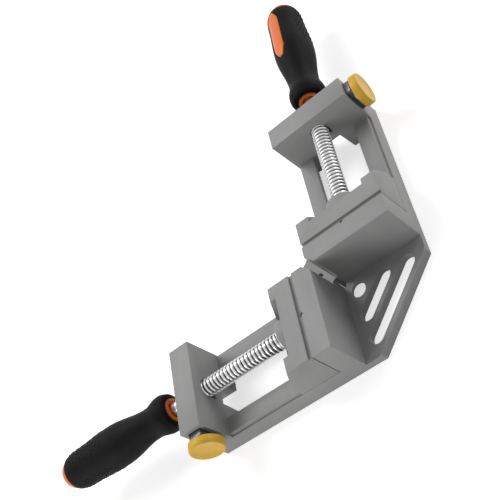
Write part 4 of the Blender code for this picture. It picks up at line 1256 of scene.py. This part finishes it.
@dataclass
class Studio:
    """The pale floor, the soft lights and the camera."""

    focal_px: float = 903.4
    image_px: int = 500
    sensor: float = 36.0
    camera_at: tuple[float, float, float] = (-349.7 * MM, -228.3 * MM, 417.9 * MM)
    right: tuple[float, float, float] = (-0.167576, -0.732525, -0.659792)
    down: tuple[float, float, float] = (-0.75317, 0.526961, -0.393759)
    ahead: tuple[float, float, float] = (0.636123, 0.430951, -0.640022)
    ambient: float = 0.3
    floor_paint: float = 0.88
    floor_glow: float = 0.6
    floor_half: float = 4.0
    lamp_side: float = 0.7
    lamp_target: tuple[float, float, float] = (0.02, 0.02, 0.0)

    def camera(self) -> None:
        """Set the camera at the photograph's place and angle."""
        data = bpy.data.cameras.new("camera")
        data.sensor_width = self.sensor
        data.lens = self.focal_px * data.sensor_width / self.image_px
        data.clip_start = 0.01
        camera = shown("camera", data)
        axes = Matrix((self.right, tuple(-value for value in self.down),
                       tuple(-value for value in self.ahead))).transposed()
        camera.matrix_world = Matrix.Translation(self.camera_at) @ axes.to_4x4()
        bpy.context.scene.camera = camera

    def floor(self) -> None:
        """Lay the pale floor, which is not seen from below."""
        bm = bmesh.new()
        bmesh.ops.create_grid(bm, x_segments=2, y_segments=2, size=self.floor_half)
        floor = solid("floor", bm)
        material = bpy.data.materials.new("pale_floor")
        tree = NodeTree.of(material)
        path = tree.add("ShaderNodeLightPath").outputs
        seen = tree.math("MAXIMUM", path["Is Camera Ray"], path["Is Glossy Ray"])
        paint = tree.add("ShaderNodeBsdfDiffuse", None, {"Color": (*[self.floor_paint] * 3, 1.0)})
        glow = tree.add("ShaderNodeEmission", None,
                        {"Color": WHITE, "Strength": tree.math("MULTIPLY", seen, self.floor_glow)})
        both = tree.add("ShaderNodeAddShader", None, {0: paint.outputs[0], 1: glow.outputs[0]})
        clear = tree.add("ShaderNodeBsdfTransparent")
        back = tree.add("ShaderNodeNewGeometry").outputs["Backfacing"]
        below = tree.math("MULTIPLY", back, path["Is Camera Ray"])
        pick = tree.add("ShaderNodeMixShader", None, {0: below, 1: both.outputs[0], 2: clear.outputs[0]})
        tree.add("ShaderNodeOutputMaterial", None, {"Surface": pick.outputs[0]})
        floor.data.materials.append(material)

    def world(self) -> None:
        """Fill the room with even light, and show it white."""
        world = bpy.data.worlds.new("room")
        tree = NodeTree.of(world)
        path = tree.add("ShaderNodeLightPath").outputs
        seen = tree.math("MAXIMUM", path["Is Camera Ray"], path["Is Transmission Ray"])
        seen = tree.math("MAXIMUM", seen, path["Is Glossy Ray"])
        back = tree.add("ShaderNodeBackground", None,
                        {"Color": WHITE, "Strength": tree.spread(seen, UNIT, (self.ambient, 1.0))})
        tree.add("ShaderNodeOutputWorld", None, {"Surface": back.outputs[0]})
        bpy.context.scene.world = world

    def lamp(self, name: str, place: tuple[float, float, float], power: float) -> None:
        """Hang one soft square lamp that points at the clamp.

        Args:
            name: The lamp's name.
            place: Where it hangs.
            power: Its power in watts.
        """
        data = bpy.data.lights.new(name, "AREA")
        data.shape = "SQUARE"
        data.size = self.lamp_side
        data.energy = power
        lamp = shown(name, data)
        lamp.location = place
        ray = Vector(self.lamp_target) - Vector(place)
        lamp.rotation_euler = ray.to_track_quat("-Z", "Y").to_euler()

    def build(self) -> None:
        """Set up the whole studio."""
        self.floor()
        self.world()
        self.lamp("key_lamp", (0.6, 0.6, 1.0), 9.0)
        self.lamp("left_lamp", (0.9, -1.1, 0.3), 8.5)
        self.lamp("right_lamp", (-1.1, 0.9, 0.3), 8.5)
        self.camera()
        bpy.context.scene.view_settings.view_transform = "Standard"


def main() -> None:
    """Build the clamp's looks."""
    logging.basicConfig(level=logging.INFO, format="%(message)s")
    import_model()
    core = Span.of("handle_core_a")
    shop = Workshop(FinishBook(core.middle.y, core.middle.z))
    CastFrame(shop).build()
    for arm in Arm:
        JawCarriage(shop, arm).build()
        Spindle(shop, arm).build()
        ReleaseButton(shop, arm).build()
        Handle(shop, arm).build()
    Studio().build()


if __name__ == "__main__":
    main()
